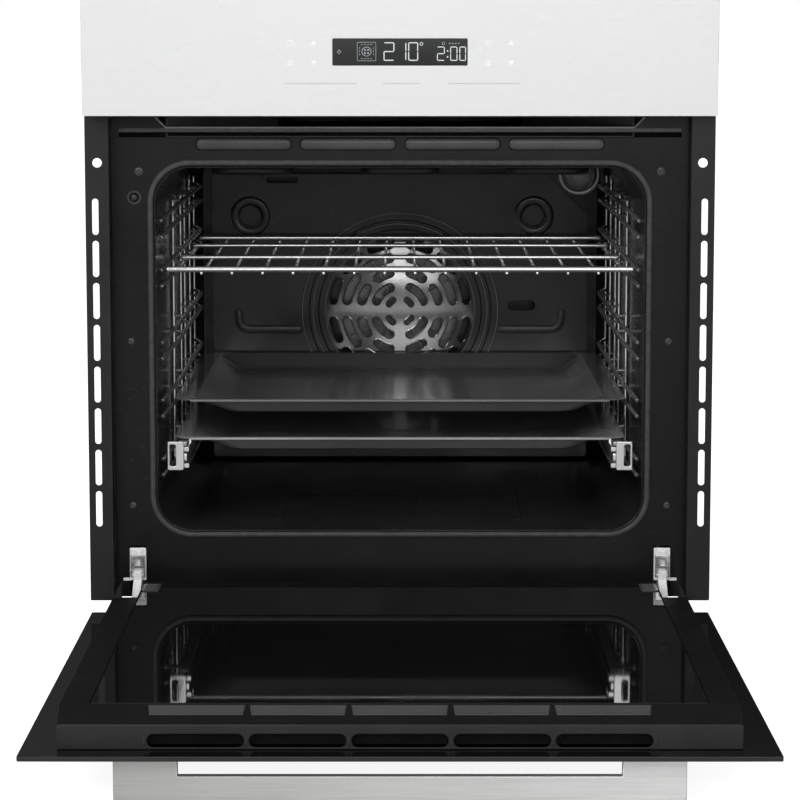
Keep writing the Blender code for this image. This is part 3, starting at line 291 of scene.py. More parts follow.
def with_tips(path, radius):
    """Extra points near both ends, so that the ends can be rounded."""
    first = (path[1] - path[0]).normalized()
    last = (path[-2] - path[-1]).normalized()
    start = [path[0] + first * radius * along for along, _ in TIP_STEPS]
    end = [path[-1] + last * radius * along for along, _ in reversed(TIP_STEPS)]
    return start + path[1:-1] + end


def tip_size(index, count):
    place = min(index, count - 1 - index)
    return TIP_STEPS[place][1] if place < len(TIP_STEPS) else 1.0


def screw_head(axis, a, b, level, out, radius=3.6):
    """A domed head with a round recess, standing out along the axis from the level."""
    profile = [(radius, level), (radius, level + out * 0.7), (radius * 0.86, level + out * 1.5)]
    profile += [(radius * 0.45, level + out * 1.9), (radius * 0.3, level + out * 1.2), (0, level + out)]
    return lathe(profile, axis, a, b, 20)


# Making objects


def publish(name, shapes, body, material, replaced=(), place=DESIGN, rim=None):
    """Makes one visible piece that rides on a CAD body. A rim is an axis and the material round it."""
    points, faces = joined(shapes)
    mesh = bpy.data.meshes.new(name)
    mesh.from_pydata(points, [], faces)
    mesh.transform(place)
    made = bmesh.new()
    made.from_mesh(mesh)
    bmesh.ops.remove_doubles(made, verts=made.verts, dist=WELD_MM * MM)
    bmesh.ops.dissolve_degenerate(made, edges=made.edges, dist=SLIVER_MM * MM)
    bmesh.ops.recalc_face_normals(made, faces=made.faces)
    limit = math.radians(SHARP_DEG)
    for face in made.faces:
        face.smooth = True
        if rim and abs(face.normal[rim[0]]) < 0.9:
            face.material_index = 1
    for side in made.edges:
        side.smooth = len(side.link_faces) == 2 and side.calc_face_angle(0) < limit
    made.to_mesh(mesh)
    made.free()
    item = bpy.data.objects.new(name, mesh)
    bpy.context.scene.collection.objects.link(item)
    mesh.materials.append(material)
    if rim:
        mesh.materials.append(rim[1])
    weigh_normals(item)
    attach(item, body)
    if replaced:
        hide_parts(*replaced)
    return item


def publish_pair(name, shapes, body, material, replaced=None, place=DESIGN):
    """Makes the same piece on the left and on the right, from shapes of the right one."""
    for side_name, side in SIDES.items():
        nodes = (f"{replaced}_{side_name}",) if replaced else ()
        publish(f"{name}_{side_name}", [sided(shape, side) for shape in shapes], body, material,
                nodes, place)


def weigh_normals(item):
    """Keeps broad faces flat in the shading, so that only their rounded edges turn."""
    modifier = item.modifiers.new("normals", "WEIGHTED_NORMAL")
    modifier.mode = "FACE_AREA"
    modifier.weight = 100
    modifier.keep_sharp = True


def keep(node, material):
    """Shows a CAD node as it is, in a better material."""
    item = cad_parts[node]
    item.data.materials.clear()
    item.data.materials.append(material)


# Materials


def scaled(color, factor, lift=0.0):
    return tuple(value * factor + lift for value in color)


def start_material(name, color, roughness, metallic=0.0, **settings):
    made = bpy.data.materials.new(name)
    made.use_nodes = True
    shader = made.node_tree.nodes["Principled BSDF"]
    shader.inputs["Base Color"].default_value = (*color, 1)
    shader.inputs["Roughness"].default_value = roughness
    shader.inputs["Metallic"].default_value = metallic
    for label, value in settings.items():
        shader.inputs[label.replace("_", " ")].default_value = value
    return made


def new_node(material, kind, **values):
    node = material.node_tree.nodes.new(kind)
    for label, value in values.items():
        node.inputs[label.replace("_", " ")].default_value = value
    return node


def link(material, source, target):
    material.node_tree.links.new(source, target)


def place_socket(material, stretch=(1, 1, 1)):
    """The piece's own coordinates in metres, stretched per axis."""
    coordinates = new_node(material, "ShaderNodeTexCoord")
    mapping = new_node(material, "ShaderNodeMapping", Scale=stretch)
    link(material, coordinates.outputs["Object"], mapping.inputs["Vector"])
    return mapping.outputs["Vector"]


def noise(material, scale, detail=3.0, stretch=(1, 1, 1), distortion=0.0):
    node = new_node(material, "ShaderNodeTexNoise", Scale=scale, Detail=detail, Distortion=distortion)
    link(material, place_socket(material, stretch), node.inputs["Vector"])
    return node.outputs["Fac"]


def cells(material, scale, output="Color", randomness=1.0):
    node = new_node(material, "ShaderNodeTexVoronoi", Scale=scale, Randomness=randomness)
    link(material, place_socket(material), node.inputs["Vector"])
    return node.outputs[output]


def ranged(material, value, low, high, start=0.3, end=0.7):
    """The value, taken from start..end to low..high."""
    node = new_node(material, "ShaderNodeMapRange")
    for label, number in (("From Min", start), ("From Max", end), ("To Min", low), ("To Max", high)):
        node.inputs[label].default_value = number
    link(material, value, node.inputs["Value"])
    return node.outputs["Result"]


def combined(material, a, b, operation="ADD"):
    node = material.node_tree.nodes.new("ShaderNodeMath")
    node.operation = operation
    link(material, a, node.inputs[0])
    link(material, b, node.inputs[1])
    return node.outputs[0]


def blended(material, factor, first, second):
    """A colour between two, each a colour or a socket."""
    node = material.node_tree.nodes.new("ShaderNodeMix")
    node.data_type = "RGBA"
    link(material, factor, node.inputs["Factor"])
    for label, value in (("A", first), ("B", second)):
        socket = next(s for s in node.inputs if s.name == label and s.type == "RGBA")
        if isinstance(value, tuple):
            socket.default_value = (*value, 1)
        else:
            link(material, value, socket)
    return next(s for s in node.outputs if s.type == "RGBA")


def to_shader(material, value, label):
    link(material, value, material.node_tree.nodes["Principled BSDF"].inputs[label])


def add_bump(material, height, depth_mm, strength=0.5):
    """Raises the surface by the height, over any bump that it has already."""
    normal = material.node_tree.nodes["Principled BSDF"].inputs["Normal"]
    node = new_node(material, "ShaderNodeBump", Strength=strength, Distance=depth_mm * MM)
    link(material, height, node.inputs["Height"])
    if normal.is_linked:
        link(material, normal.links[0].from_socket, node.inputs["Normal"])
    link(material, node.outputs["Normal"], normal)


def scuffs(material):
    """Nought on clean ground, up to one in a few patches of hairline scratches."""
    lines = ranged(material, noise(material, 55, 2, (3, 40, 40)), 0, 1, 0.66, 0.72)
    patches = ranged(material, noise(material, 6, 3), 0, 0.8, 0.5, 0.66)
    return combined(material, lines, patches, "MULTIPLY")


def enamel(name, base, speck, smooth, coarse, metallic=0.0, specular=0.3):
    """Vitreous enamel: tiny pale specks, a faint orange peel, and wiped patches that are duller."""
    made = start_material(name, base, smooth, metallic, Specular_IOR_Level=specular)
    specks = ranged(made, noise(made, 2600, 1), 0, 1, 0.66, 0.72)
    cloud = ranged(made, noise(made, 7, 4), 0, 0.45)
    dusted = blended(made, cloud, base, scaled(base, 1.8))
    speckled = blended(made, specks, dusted, speck)
    worn = blended(made, scuffs(made), speckled, scaled(speck, 3))
    to_shader(made, worn, "Base Color")
    wiped = ranged(made, noise(made, 14, 5, distortion=0.6), smooth, coarse)
    to_shader(made, wiped, "Roughness")
    add_bump(made, noise(made, 420, 2), 0.06, 0.35)
    add_bump(made, noise(made, 40, 2), 0.25, 0.12)
    return made


def paint(name, base, smooth, coarse, specular=0.3):
    """Satin powder coat with its fine grain and a few lighter scuffs."""
    made = start_material(name, base, smooth, Specular_IOR_Level=specular)
    tone = ranged(made, noise(made, 25, 4), 0, 0.6)
    toned = blended(made, tone, base, scaled(base, 1.7))
    worn = blended(made, scuffs(made), toned, scaled(base, 5, 0.02))
    to_shader(made, worn, "Base Color")
    to_shader(made, ranged(made, noise(made, 60, 4), smooth, coarse), "Roughness")
    add_bump(made, noise(made, 1500, 2), 0.05, 0.3)
    return made


def metal(name, base, smooth, coarse, grain, grain_scale, grain_mm, shade=0.82, metallic=1.0):
    """Bare metal with a grain that can run one way, and dull patches."""
    made = start_material(name, base, smooth, metallic)
    lines = noise(made, grain_scale, 4, grain)
    patches = noise(made, 18, 4, distortion=0.4)
    dull = scaled(base, shade)
    to_shader(made, blended(made, ranged(made, lines, 0, 1), dull, base), "Base Color")
    both = combined(made, ranged(made, lines, 0, 0.08), ranged(made, patches, smooth, coarse))
    to_shader(made, both, "Roughness")
    add_bump(made, lines, grain_mm, 0.4)
    return made


def painted_light_along(material, reach_mm, shaded_end, lit_end):
    """Darkens a material towards its left end: painted light, brighter towards the right as if the long bar
    were lit from that side.
    """
    split = new_node(material, "ShaderNodeSeparateXYZ")
    link(material, place_socket(material), split.inputs["Vector"])
    along = ranged(material, split.outputs["X"], 0, 1, reach_mm[0] * MM, reach_mm[1] * MM)
    tint = blended(material, along, shaded_end, lit_end)
    color = material.node_tree.nodes["Principled BSDF"].inputs["Base Color"]
    node = material.node_tree.nodes.new("ShaderNodeVectorMath")
    node.operation = "MULTIPLY"
    link(material, color.links[0].from_socket, node.inputs[0])
    link(material, tint, node.inputs[1])
    link(material, node.outputs["Vector"], color)


def shade_rim(material, near_mm, far_mm, depth):
    """Darkens a material away from the fan's axis: painted shade towards the grille's rim, which leaves its
    middle looking lit.
    """
    axis = new_node(material, "ShaderNodeVectorMath")
    axis.operation = "DISTANCE"
    link(material, place_socket(material, (1, 0, 1)), axis.inputs[0])
    axis.inputs[1].default_value = (0, 0, FAN_Z * MM)
    amount = ranged(material, axis.outputs["Value"], 0, depth, near_mm * MM, far_mm * MM)
    color = material.node_tree.nodes["Principled BSDF"].inputs["Base Color"]
    darker = blended(material, amount, color.links[0].from_socket, (0.03, 0.03, 0.031))
    link(material, darker, color)


def galvanised(name, base):
    """Zinc-coated sheet with its spangle of pale and dark crystals."""
    made = start_material(name, base, 0.4, 1.0)
    spangle = cells(made, 85)
    fine = noise(made, 260, 4)
    mixed = combined(made, ranged(made, spangle, 0, 0.7, 0, 1), ranged(made, fine, 0, 0.3))
    to_shader(made, blended(made, mixed, scaled(base, 0.72), base), "Base Color")
    dull = combined(made, ranged(made, spangle, 0.28, 0.44, 0, 1), ranged(made, noise(made, 9, 4), 0, 0.14))
    to_shader(made, dull, "Roughness")
    add_bump(made, spangle, 0.03, 0.25)
    add_bump(made, noise(made, 12, 2), 0.8, 0.1)
    return made


def glass_face(name, base, smooth, coarse, depth=0.02, specular=0.5):
    """A back-printed glass face: nearly smooth, with wipe marks and a little dust."""
    made = start_material(name, base, smooth, Specular_IOR_Level=specular)
    smears = noise(made, 9, 5, (1.0, 1.0, 2.6), 0.8)
    dust = ranged(made, noise(made, 1900, 1), 0, 0.5, 0.7, 0.78)
    cloud = ranged(made, noise(made, 5, 3), 0, 0.35)
    soft = blended(made, cloud, base, scaled(base, 0.93, 0.002))
    to_shader(made, blended(made, dust, soft, scaled(base, 0.9, 0.02)), "Base Color")
    to_shader(made, ranged(made, smears, smooth, coarse), "Roughness")
    add_bump(made, noise(made, 3, 2), depth * 10, 0.03)
    add_bump(made, noise(made, 220, 2), depth, 0.05)
    return made


def rubber(name, base):
    made = start_material(name, base, 0.6)
    tone = ranged(made, noise(made, 130, 4), 0, 1)
    to_shader(made, blended(made, tone, base, scaled(base, 1.8)), "Base Color")
    to_shader(made, ranged(made, noise(made, 300, 3), 0.5, 0.75), "Roughness")
    add_bump(made, noise(made, 900, 3), 0.08, 0.4)
    return made


def plastic(name, base, smooth, coarse, grain=1400):
    made = start_material(name, base, smooth)
    tone = ranged(made, noise(made, 30, 3), 0, 1)
    to_shader(made, blended(made, tone, base, scaled(base, 1.25, 0.004)), "Base Color")
    to_shader(made, ranged(made, noise(made, 200, 4), smooth, coarse), "Roughness")
    add_bump(made, noise(made, grain, 3), 0.06, 0.4)
    return made


def wool(name):
    made = start_material(name, (0.5, 0.42, 0.24), 0.95)
    fibres = noise(made, 260, 6, (1, 1, 4), 1.5)
    lumps = noise(made, 28, 4)
    pale = blended(made, ranged(made, fibres, 0, 1), (0.38, 0.3, 0.15), (0.68, 0.6, 0.38))
    to_shader(made, blended(made, ranged(made, lumps, 0, 0.6), pale, (0.3, 0.25, 0.14)), "Base Color")
    to_shader(made, ranged(made, fibres, 0.85, 1.0), "Roughness")
    add_bump(made, fibres, 0.8, 0.8)
    add_bump(made, lumps, 3.0, 0.6)
    return made


def scorched(name):
    """A tubular heater's dark oxide skin with straw and blue heat tints."""
    made = start_material(name, (0.02, 0.02, 0.02), 0.45, 0.4)
    tint = noise(made, 22, 4)
    oxide = blended(made, ranged(made, tint, 0, 1), (0.012, 0.012, 0.013), (0.034, 0.03, 0.026))
    ash = ranged(made, noise(made, 300, 3), 0, 0.5)
    to_shader(made, blended(made, ash, oxide, (0.05, 0.05, 0.053)), "Base Color")
    to_shader(made, ranged(made, tint, 0.35, 0.6), "Roughness")
    add_bump(made, noise(made, 700, 3), 0.08, 0.4)
    return made


def circuit(name):
    """Solder mask over copper tracks."""
    made = start_material(name, (0.02, 0.12, 0.05), 0.35)
    tracks = ranged(made, cells(made, 160, "Distance", 0.7), 0, 1, 0.28, 0.34)
    to_shader(made, blended(made, tracks, (0.012, 0.16, 0.06), (0.01, 0.07, 0.03)), "Base Color")
    to_shader(made, ranged(made, noise(made, 300, 3), 0.25, 0.45), "Roughness")
    add_bump(made, tracks, 0.08, 0.5)
    return made


def lamp_glass(name):
    made = start_material(name, (0.93, 0.95, 0.94), 0.06, IOR=1.47, Transmission_Weight=0.85)
    to_shader(made, ranged(made, noise(made, 120, 4), 0.04, 0.22), "Roughness")
    tint = ranged(made, noise(made, 60, 3), 0, 1)
    to_shader(made, blended(made, tint, (0.84, 0.87, 0.86), (0.96, 0.97, 0.96)), "Base Color")
    add_bump(made, noise(made, 90, 2), 0.5, 0.4)
    return made


def lit(name, color, strength):
    """Display segments, with the slight unevenness of their backlight."""
    made = start_material(name, color, 0.3, Emission_Color=(*color, 1), Emission_Strength=strength)
    uneven = blended(made, ranged(made, noise(made, 350, 3), 0, 1), scaled(color, 0.86), color)
    to_shader(made, uneven, "Base Color")
    to_shader(made, uneven, "Emission Color")
    to_shader(made, ranged(made, noise(made, 500, 3), 0.2, 0.4), "Roughness")
    return made


ENAMEL = enamel("frame_enamel", (0.0052, 0.0052, 0.0056), (0.02, 0.02, 0.021), 0.24, 0.36, specular=0.2)
CAVITY = enamel("cavity_enamel", (0.016, 0.0162, 0.017), (0.06, 0.062, 0.068), 0.16, 0.28)
TRAY = enamel("tray_enamel", (0.21, 0.21, 0.214), (0.34, 0.34, 0.35), 0.14, 0.24, 0.55)
GRILLE = enamel("grille_enamel", (0.3, 0.3, 0.305), (0.4, 0.4, 0.41), 0.1, 0.18, 0.8)
# Painted shade: the grille's colour darkens towards its rim.
shade_rim(GRILLE, 40, 84, 0.8)
BEAD = enamel("bead_enamel_painted_lighter", (0.04, 0.04, 0.041), (0.07, 0.07, 0.072), 0.24, 0.34)
PANEL_HIGHLIGHT = enamel("pressing_painted_highlights", (0.16, 0.16, 0.162), (0.2, 0.2, 0.2), 0.14, 0.22)
# Painted light: the lower tray gets a lighter copy of the tray enamel, standing for the light on its face.
LOWER_TRAY_LIGHTER = enamel("lower_tray_enamel_painted_lighter", (0.4, 0.4, 0.405), (0.5, 0.5, 0.51), 0.14, 0.24, 0.5)
TRIM_LIGHTER = paint("trim_pressings_painted_lighter", (0.03, 0.03, 0.031), 0.26, 0.36)
SATIN = paint("black_powder_coat", (0.0105, 0.0105, 0.011), 0.3, 0.42)
DOOR_TRIM = paint("door_trim_coat", (0.005, 0.005, 0.0053), 0.4, 0.52, 0.06)
TRIM_END_LIGHTER = paint("door_trim_end_painted_lighter", (0.017, 0.017, 0.0175), 0.34, 0.46, 0.3)
SHADOW = paint("painted_shadow_recess", (0.0012, 0.0012, 0.0012), 0.6, 0.8, 0.05)
EDGE_LIGHT = paint("painted_edge_highlight", (0.2, 0.2, 0.2), 0.16, 0.26, 0.5)
# A dark grey coat: the own colour of screws and clips, and a painted highlight on the pressings and edges of
# darker sheets.
GREY_TRIM_AND_HIGHLIGHT = paint("grey_trim_and_painted_highlight_coat", (0.05, 0.05, 0.051), 0.22, 0.32)
ZINC = galvanised("galvanised_steel", (0.6, 0.61, 0.63))
FAN_STEEL = metal("fan_steel", (0.16, 0.16, 0.16), 0.22, 0.38, (1, 1, 1), 240, 0.03)
STEEL = metal("hinge_steel", (0.97, 0.97, 0.96), 0.2, 0.34, (1, 1, 0.15), 420, 0.012, 0.92, 0.15)
BRUSHED = metal("brushed_handle", (0.96, 0.955, 0.95), 0.26, 0.36, (0.012, 1, 1), 1500, 0.008, 0.88, 0.5)
CHROME = metal("wire_chrome", (0.76, 0.76, 0.76), 0.1, 0.2, (1, 1, 1), 300, 0.004, 0.88, 0.88)
# Painted light: the handle's colour brightens from its left end to its right.
painted_light_along(BRUSHED, (-225.0, 225.0), (0.62, 0.62, 0.61), (1.0, 1.0, 1.0))
HEATER = scorched("heater_oxide")
WOOL = wool("mineral_wool")
RUBBER = rubber("gasket_rubber", (0.034, 0.034, 0.035))
WHITE_GLASS = glass_face("white_back_print", (0.87, 0.872, 0.874), 0.25, 0.29, 0.004, 0.4)
GLASS_EDGE = glass_face("ground_glass_edge", (0.14, 0.16, 0.16), 0.2, 0.4)
DARK_GLASS = glass_face("black_back_print", (0.004, 0.004, 0.0044), 0.012, 0.045, 0.008, 0.2)
DARK_EDGE = glass_face("dark_glass_edge", (0.012, 0.014, 0.014), 0.15, 0.35)
DISPLAY_GLASS = glass_face("display_window", (0.006, 0.0063, 0.007), 0.1, 0.18, 0.01, 0.35)
LIT_WHITE = lit("display_segments", (0.62, 0.65, 0.66), 0.36)
LIT_DIM = lit("display_small_marks", (0.3, 0.33, 0.34), 0.16)
PRINT_GREY = plastic("printed_marks", (0.42, 0.42, 0.42), 0.3, 0.5)
TOUCH_WHITE = plastic("touch_key_marks", (0.97, 0.97, 0.97), 0.5, 0.6)
PLASTIC = plastic("black_plastic", (0.018, 0.018, 0.019), 0.35, 0.55)
CERAMIC = plastic("ceramic", (0.76, 0.73, 0.67), 0.28, 0.5, 500)
BOARD = circuit("circuit_board")
LAMP = lamp_glass("lamp_glass")


# Cavity outline

_, CAVITY_X1, LIP_Y, CAVITY_END, CAVITY_Z0, CAVITY_Z1 = span("cavity_liner")
CAVITY_HALF = CAVITY_X1 - SHEET
CAVITY_LOW = CAVITY_Z0 + SHEET
CAVITY_HIGH = CAVITY_Z1 - SHEET
CAVITY_BACK = CAVITY_END - SHEET
CAVITY_RADIUS = 33.0
SHAFT_HOLE = 5.0
_, FRAME_X1, FRAME_Y, FRAME_BACK, _, FRAME_Z1 = span("front_frame")


def cavity_outline(grow=0.0):
    radius = max(CAVITY_RADIUS + grow, 1)
    return rounded(-CAVITY_HALF - grow, CAVITY_HALF + grow, CAVITY_LOW - grow, CAVITY_HIGH + grow, radius)


BACK_BEND = 14.0
BEND_STEPS = 8
FLOOR_BEAD = 6.0
FLOOR_BEAD_Z = CAVITY_LOW - 4.6
FLOOR_BEADS = (
    ((-112, 206), (112, 206)),
    ((-118, 60), (-118, 311)),
    ((118, 60), (118, 311)),
)
DIMPLE_X = 216
DIMPLE_LEVELS = (110, 292, 307)


def add_cavity():
    """The liner: a rounded turn out of the back, smooth walls, a rolled lip, and the outside."""
    walls = [ring_at(cavity_outline(-BACK_BEND), "y", CAVITY_BACK)]
    for n in range(1, BEND_STEPS + 1):
        turn = math.radians(90 * n / BEND_STEPS)
        inset = BACK_BEND * (1 - math.sin(turn))
        walls.append(ring_at(cavity_outline(-inset), "y", CAVITY_BACK - BACK_BEND * (1 - math.cos(turn))))
    section = (
        (0.0, CAVITY_BACK - 120), (0.0, LIP_Y + 40), (0.0, LIP_Y + 0.9), (0.2, LIP_Y + 0.2), (0.7, LIP_Y),
        (SHEET, LIP_Y + 0.5), (SHEET, CAVITY_END - BACK_BEND), (-BACK_BEND, CAVITY_END),
    )
    walls += [ring_at(cavity_outline(grow), "y", y) for grow, y in section]
    hole = circle(0, FAN_Z, SHAFT_HOLE, len(walls[0]))
    bore = [ring_at(hole, "y", level) for level in (CAVITY_BACK, CAVITY_END)]
    shapes = [loft([bore[0], *walls, bore[1]], closed=True)]
    for ends in FLOOR_BEADS:
        shapes.append(wire([(x, y, FLOOR_BEAD_Z) for x, y in ends], FLOOR_BEAD, sides=16))
    shapes += [dimple(side * DIMPLE_X, z) for z in DIMPLE_LEVELS for side in SIDES.values()]
    publish("cavity_liner_enamel", shapes, "oven", CAVITY, ("cavity_liner",))


def dimple(x, z):
    """A small domed pressing in the back wall."""
    y = CAVITY_BACK
    return lathe([(5, y + 1), (4.6, y - 0.8), (2.4, y - 2.2), (0, y - 2.6)], "y", x, z, 20)


GASKET_SECTION = (
    (2.0, 0.0), (2.1, 0.9), (2.7, 1.9), (3.8, 2.5), (4.9, 2.7),
    (6.0, 2.5), (7.1, 1.9), (7.7, 0.9), (7.8, 0.0),
)


def add_gasket():
    """A rounded rubber lip round the opening."""
    back = FRAME_Y - 0.1
    rings = [ring_at(cavity_outline(grow), "y", back - proud) for grow, proud in GASKET_SECTION]
    publish("door_seal", [loft(rings, closed=True)], "oven", RUBBER, ("door_gasket",))


# Front frame

EMBOSSED = ((-194.6, -102.9), (-95.7, -3.6), (4.2, 96.0), (103.3, 195.1))
EMBOSSED_Z = (433.4, 444.9)
OUTLET_Z = 456.0
OUTLET_HALF = 223.0
OUTLET_CHAMFER = 10.0
HINGE_X = 254.0
HINGE_SLOT = (8.0, 5.5, 50.0)
SWITCH_X, SWITCH_Z = -253.7, 388.4
GROOVE_HALF = 268.0
GROOVE_Z = (445.9, 450.2)
LIP_RADIUS = 0.9
SWITCH_HOLE = 4.3
FRAME_SCREWS = ((249, 413.3, 4.3), (258, 90, 3.4), (258, 250, 3.4))


def add_front_frame():
    """The pressed sheet round the opening, with its long shallow pressings and its folded outlet lip."""
    edge = OUTLET_HALF + OUTLET_CHAMFER
    outline = [
        (-FRAME_X1, 0), (FRAME_X1, 0), (FRAME_X1, FRAME_Z1), (edge, FRAME_Z1),
        (edge, OUTLET_Z + OUTLET_CHAMFER), (OUTLET_HALF, OUTLET_Z), (-OUTLET_HALF, OUTLET_Z),
        (-edge, OUTLET_Z + OUTLET_CHAMFER), (-edge, FRAME_Z1), (-FRAME_X1, FRAME_Z1),
    ]
    half, low, high = HINGE_SLOT
    groove_low, groove_high = GROOVE_Z
    holes = [cavity_outline(1.5), circle(SWITCH_X, SWITCH_Z, SWITCH_HOLE, 24)]
    holes += [rounded(s * HINGE_X - half, s * HINGE_X + half, low, high, 1.5, 4) for s in SIDES.values()]
    holes += [rounded(x0, x1, *EMBOSSED_Z, 5.5, 6) for x0, x1 in EMBOSSED]
    holes.append(rounded(-GROOVE_HALF, GROOVE_HALF, groove_low, groove_high, 1.2, 4))
    sheet = plate([outline, *holes], "y", FRAME_Y, FRAME_BACK, 0.5, 2)
    publish("front_frame_enamel", [sheet], "oven", ENAMEL, ("front_frame",))
    # Painted shade: a near-black floor behind the groove stands for the shadow in it.
    floor = block(-GROOVE_HALF - 2, GROOVE_HALF + 2, FRAME_BACK + 0.6, FRAME_BACK + 1.4,
                  groove_low - 1, groove_high + 1, 0.3, 1, "y")
    publish("front_frame_groove", [floor], "oven", SHADOW)
    # Painted highlight: a pale wire along the outlet's lip stands for the light line on its edge.
    lip = OUTLET_Z - LIP_RADIUS
    path = [(-edge, FRAME_Y + 0.1, lip + OUTLET_CHAMFER), (-OUTLET_HALF, FRAME_Y + 0.1, lip)]
    path += [(-x, y, z) for x, y, z in reversed(path)]
    publish("front_frame_lip", [wire(path, LIP_RADIUS)], "oven", EDGE_LIGHT)
    # Painted highlight: the pressings, the switch collar and the band under the lip are paler than the
    # frame's enamel.
    collar = [(4.4, FRAME_Y + 0.2), (5.2, FRAME_Y - 1.4), (6.4, FRAME_Y - 1.4), (7.2, FRAME_Y + 0.2)]
    pressings = [pillow(x0, x1) for x0, x1 in EMBOSSED]
    pressings.append(hoop(collar, "y", SWITCH_X, SWITCH_Z, 28))
    pressings.append(block(-GROOVE_HALF, GROOVE_HALF, FRAME_Y - 0.3, FRAME_Y + 0.4,
                           groove_high + 0.6, lip - 0.6, 0.3, 0.5, "y"))
    publish("front_frame_pressings", pressings, "oven", GREY_TRIM_AND_HIGHLIGHT)
    heads = []
    for x, z, radius in FRAME_SCREWS:
        heads += [screw_head("y", side * x, z, FRAME_Y + 0.2, -1.0, radius) for side in SIDES.values()]
    publish("front_frame_screws", heads, "oven", GREY_TRIM_AND_HIGHLIGHT)


def pillow(x0, x1):
    """The raised floor of one long pressing, set in its pan with a thin rim round it."""
    z0, z1 = EMBOSSED_Z
    back = FRAME_BACK + 1.3
    levels = ((0.4, back), (0.5, FRAME_Y + 1.4), (1.6, FRAME_Y + 0.5), (3.0, FRAME_Y + 0.1), (4.4, FRAME_Y))
    rings = []
    for inset, level in levels:
        ring = rounded(x0 + inset, x1 - inset, z0 + inset, z1 - inset, 5.5 - inset, 6)
        rings.append(ring_at(ring, "y", level))
    return loft(rings)


FLANGE_SCREW = (286.8, 422.4, 4.5)
FLANGE_SLOT_X = 289.1
FLANGE_SLOT = (6.0, 34.5)
FLANGE_FIRST = 371.2
FLANGE_PITCH = 40.2
FLANGE_SLOTS = 8


def add_flanges():
    """The slotted mounting flanges, each with a rolled outer edge and a lip folded back."""
    x0, x1, y0, lip_end, z0, z1 = span("mounting_flange_right")
    half_width, half_length = FLANGE_SLOT[0] / 2, FLANGE_SLOT[1] / 2
    holes = [circle(*FLANGE_SCREW)]
    for n in range(FLANGE_SLOTS):
        z = FLANGE_FIRST - n * FLANGE_PITCH
        holes.append(rounded(
            FLANGE_SLOT_X - half_width, FLANGE_SLOT_X + half_width, z - half_length, z + half_length, 3, 6
        ))
    shapes = [
        plate([rounded(x0 + 1, x1, z0, z1, 1.2, 3), *holes], "y", y0, y0 + SHEET, 0.4, 2),
        block(x0, x0 + SHEET, y0, lip_end, z0, z1, 0.45, 0.5, "x"),
    ]
    # Painted highlight: pale wires along both edges of each flange stand for light on its rolled edges.
    edges = [
        wire([(x1 - 0.9, y0 + 0.8, z0 + 0.5), (x1 - 0.9, y0 + 0.8, z1 - 0.5)], 0.8),
        wire([(x0 + 0.7, y0 + 0.75, z0 + 0.5), (x0 + 0.7, y0 + 0.75, z1 - 0.5)], 0.75),
    ]
    publish_pair("flange", shapes, "oven", SATIN, "mounting_flange")
    publish_pair("flange_edges", edges, "oven", GREY_TRIM_AND_HIGHLIGHT)


def add_switch():
    """The switch's domed button, in its hole in the front frame."""
    x0, x1, tip, end, _, _ = span("door_switch_button")
    radius = (x1 - x0) / 2
    profile = [
        (radius, end), (radius, tip + 3), (radius - 0.2, tip + 1.6), (radius - 0.9, tip + 0.5),
        (radius - 2, tip), (0, tip),
    ]
    shape = lathe(profile, "y", SWITCH_X, SWITCH_Z, 28)
    publish("switch_button_cap", [shape], "switch_button", PLASTIC, ("door_switch_button",))


# Air panel on the cavity's back

GRILLE_HOLE = 83.0
GRILLE_DOME = 8.0
GRILLE_RINGS = ((28.5, 9.0, 1), (44.0, 9.5, 2), (60.0, 9.5, 2), (75.0, 9.0, 3))
GRILLE_BAR = 6.0
BOSSES = ((-167.0, 340.5), (149.0, 341.0))
PROBE_SLOT = (-148.0, -114.0, 378.0, 384.0)
AIR_SLOT = (121.0, 151.0, 235.0, 246.0)
AIR_CORNER = 46.0
AIR_RADIUS = 5.0
FAN_BANDS = ((102, 109, 1.6), (91.5, 97, 2.4))
AIR_SCREWS = ((-196, 84), (196, 84))
HIGHLIGHT_RINGS = ((109.2, 1.5), (97.3, 2.3), (83.4, 0.1))


def air_outline(inset, x1, z0, z1):
    """The panel's outline: round corners, and one cut off for the lamp."""
    right = x1 - inset
    low = z0 + inset
    high = z1 - inset
    cut = AIR_CORNER - inset * (2 - math.sqrt(2))
    corners = [(-right, low), (right, low), (right, high - cut), (right - cut, high), (-right, high)]
    loop = []
    for index, corner in enumerate(corners):
        before = Vector(corners[index - 1])
        after = Vector(corners[(index + 1) % len(corners)])
        here = Vector(corner)
        start = here + (before - here).normalized() * AIR_RADIUS
        end = here + (after - here).normalized() * AIR_RADIUS
        loop += [(point.x, point.y) for point in corner_curve(start, here, end)]
    return loop


def stepped_ring(inner, outer, level, rise):
    """A raised band round the fan, with sloping sides."""
    section = [
        (inner - 1.5, level + 0.4), (inner, level - rise), (outer, level - rise), (outer + 1.5, level + 0.4),
    ]
    return hoop(section, "y", 0, FAN_Z, 96)


def boss(x, z, level):
    """The rounded wall of a pressed cup."""
    section = [
        (22.6, level + 0.3), (21.6, level - 1.4), (19.4, level - 2.2), (14.6, level - 2.0),
        (12.4, level - 0.6), (11.9, level + 0.6), (15.0, level + 0.9), (20.0, level + 0.9),
    ]
    return hoop(section, "y", x, z, 40)


def panel_bead(side, level):
    """The L-shaped stiffening bead low on each side of the panel."""
    path = [(side * 181, level + 6.3, 238), (side * 179, level + 6.3, 214), (side * 107, level + 6.3, 214)]
    return wire(path, 8.0, 18, sides=20)


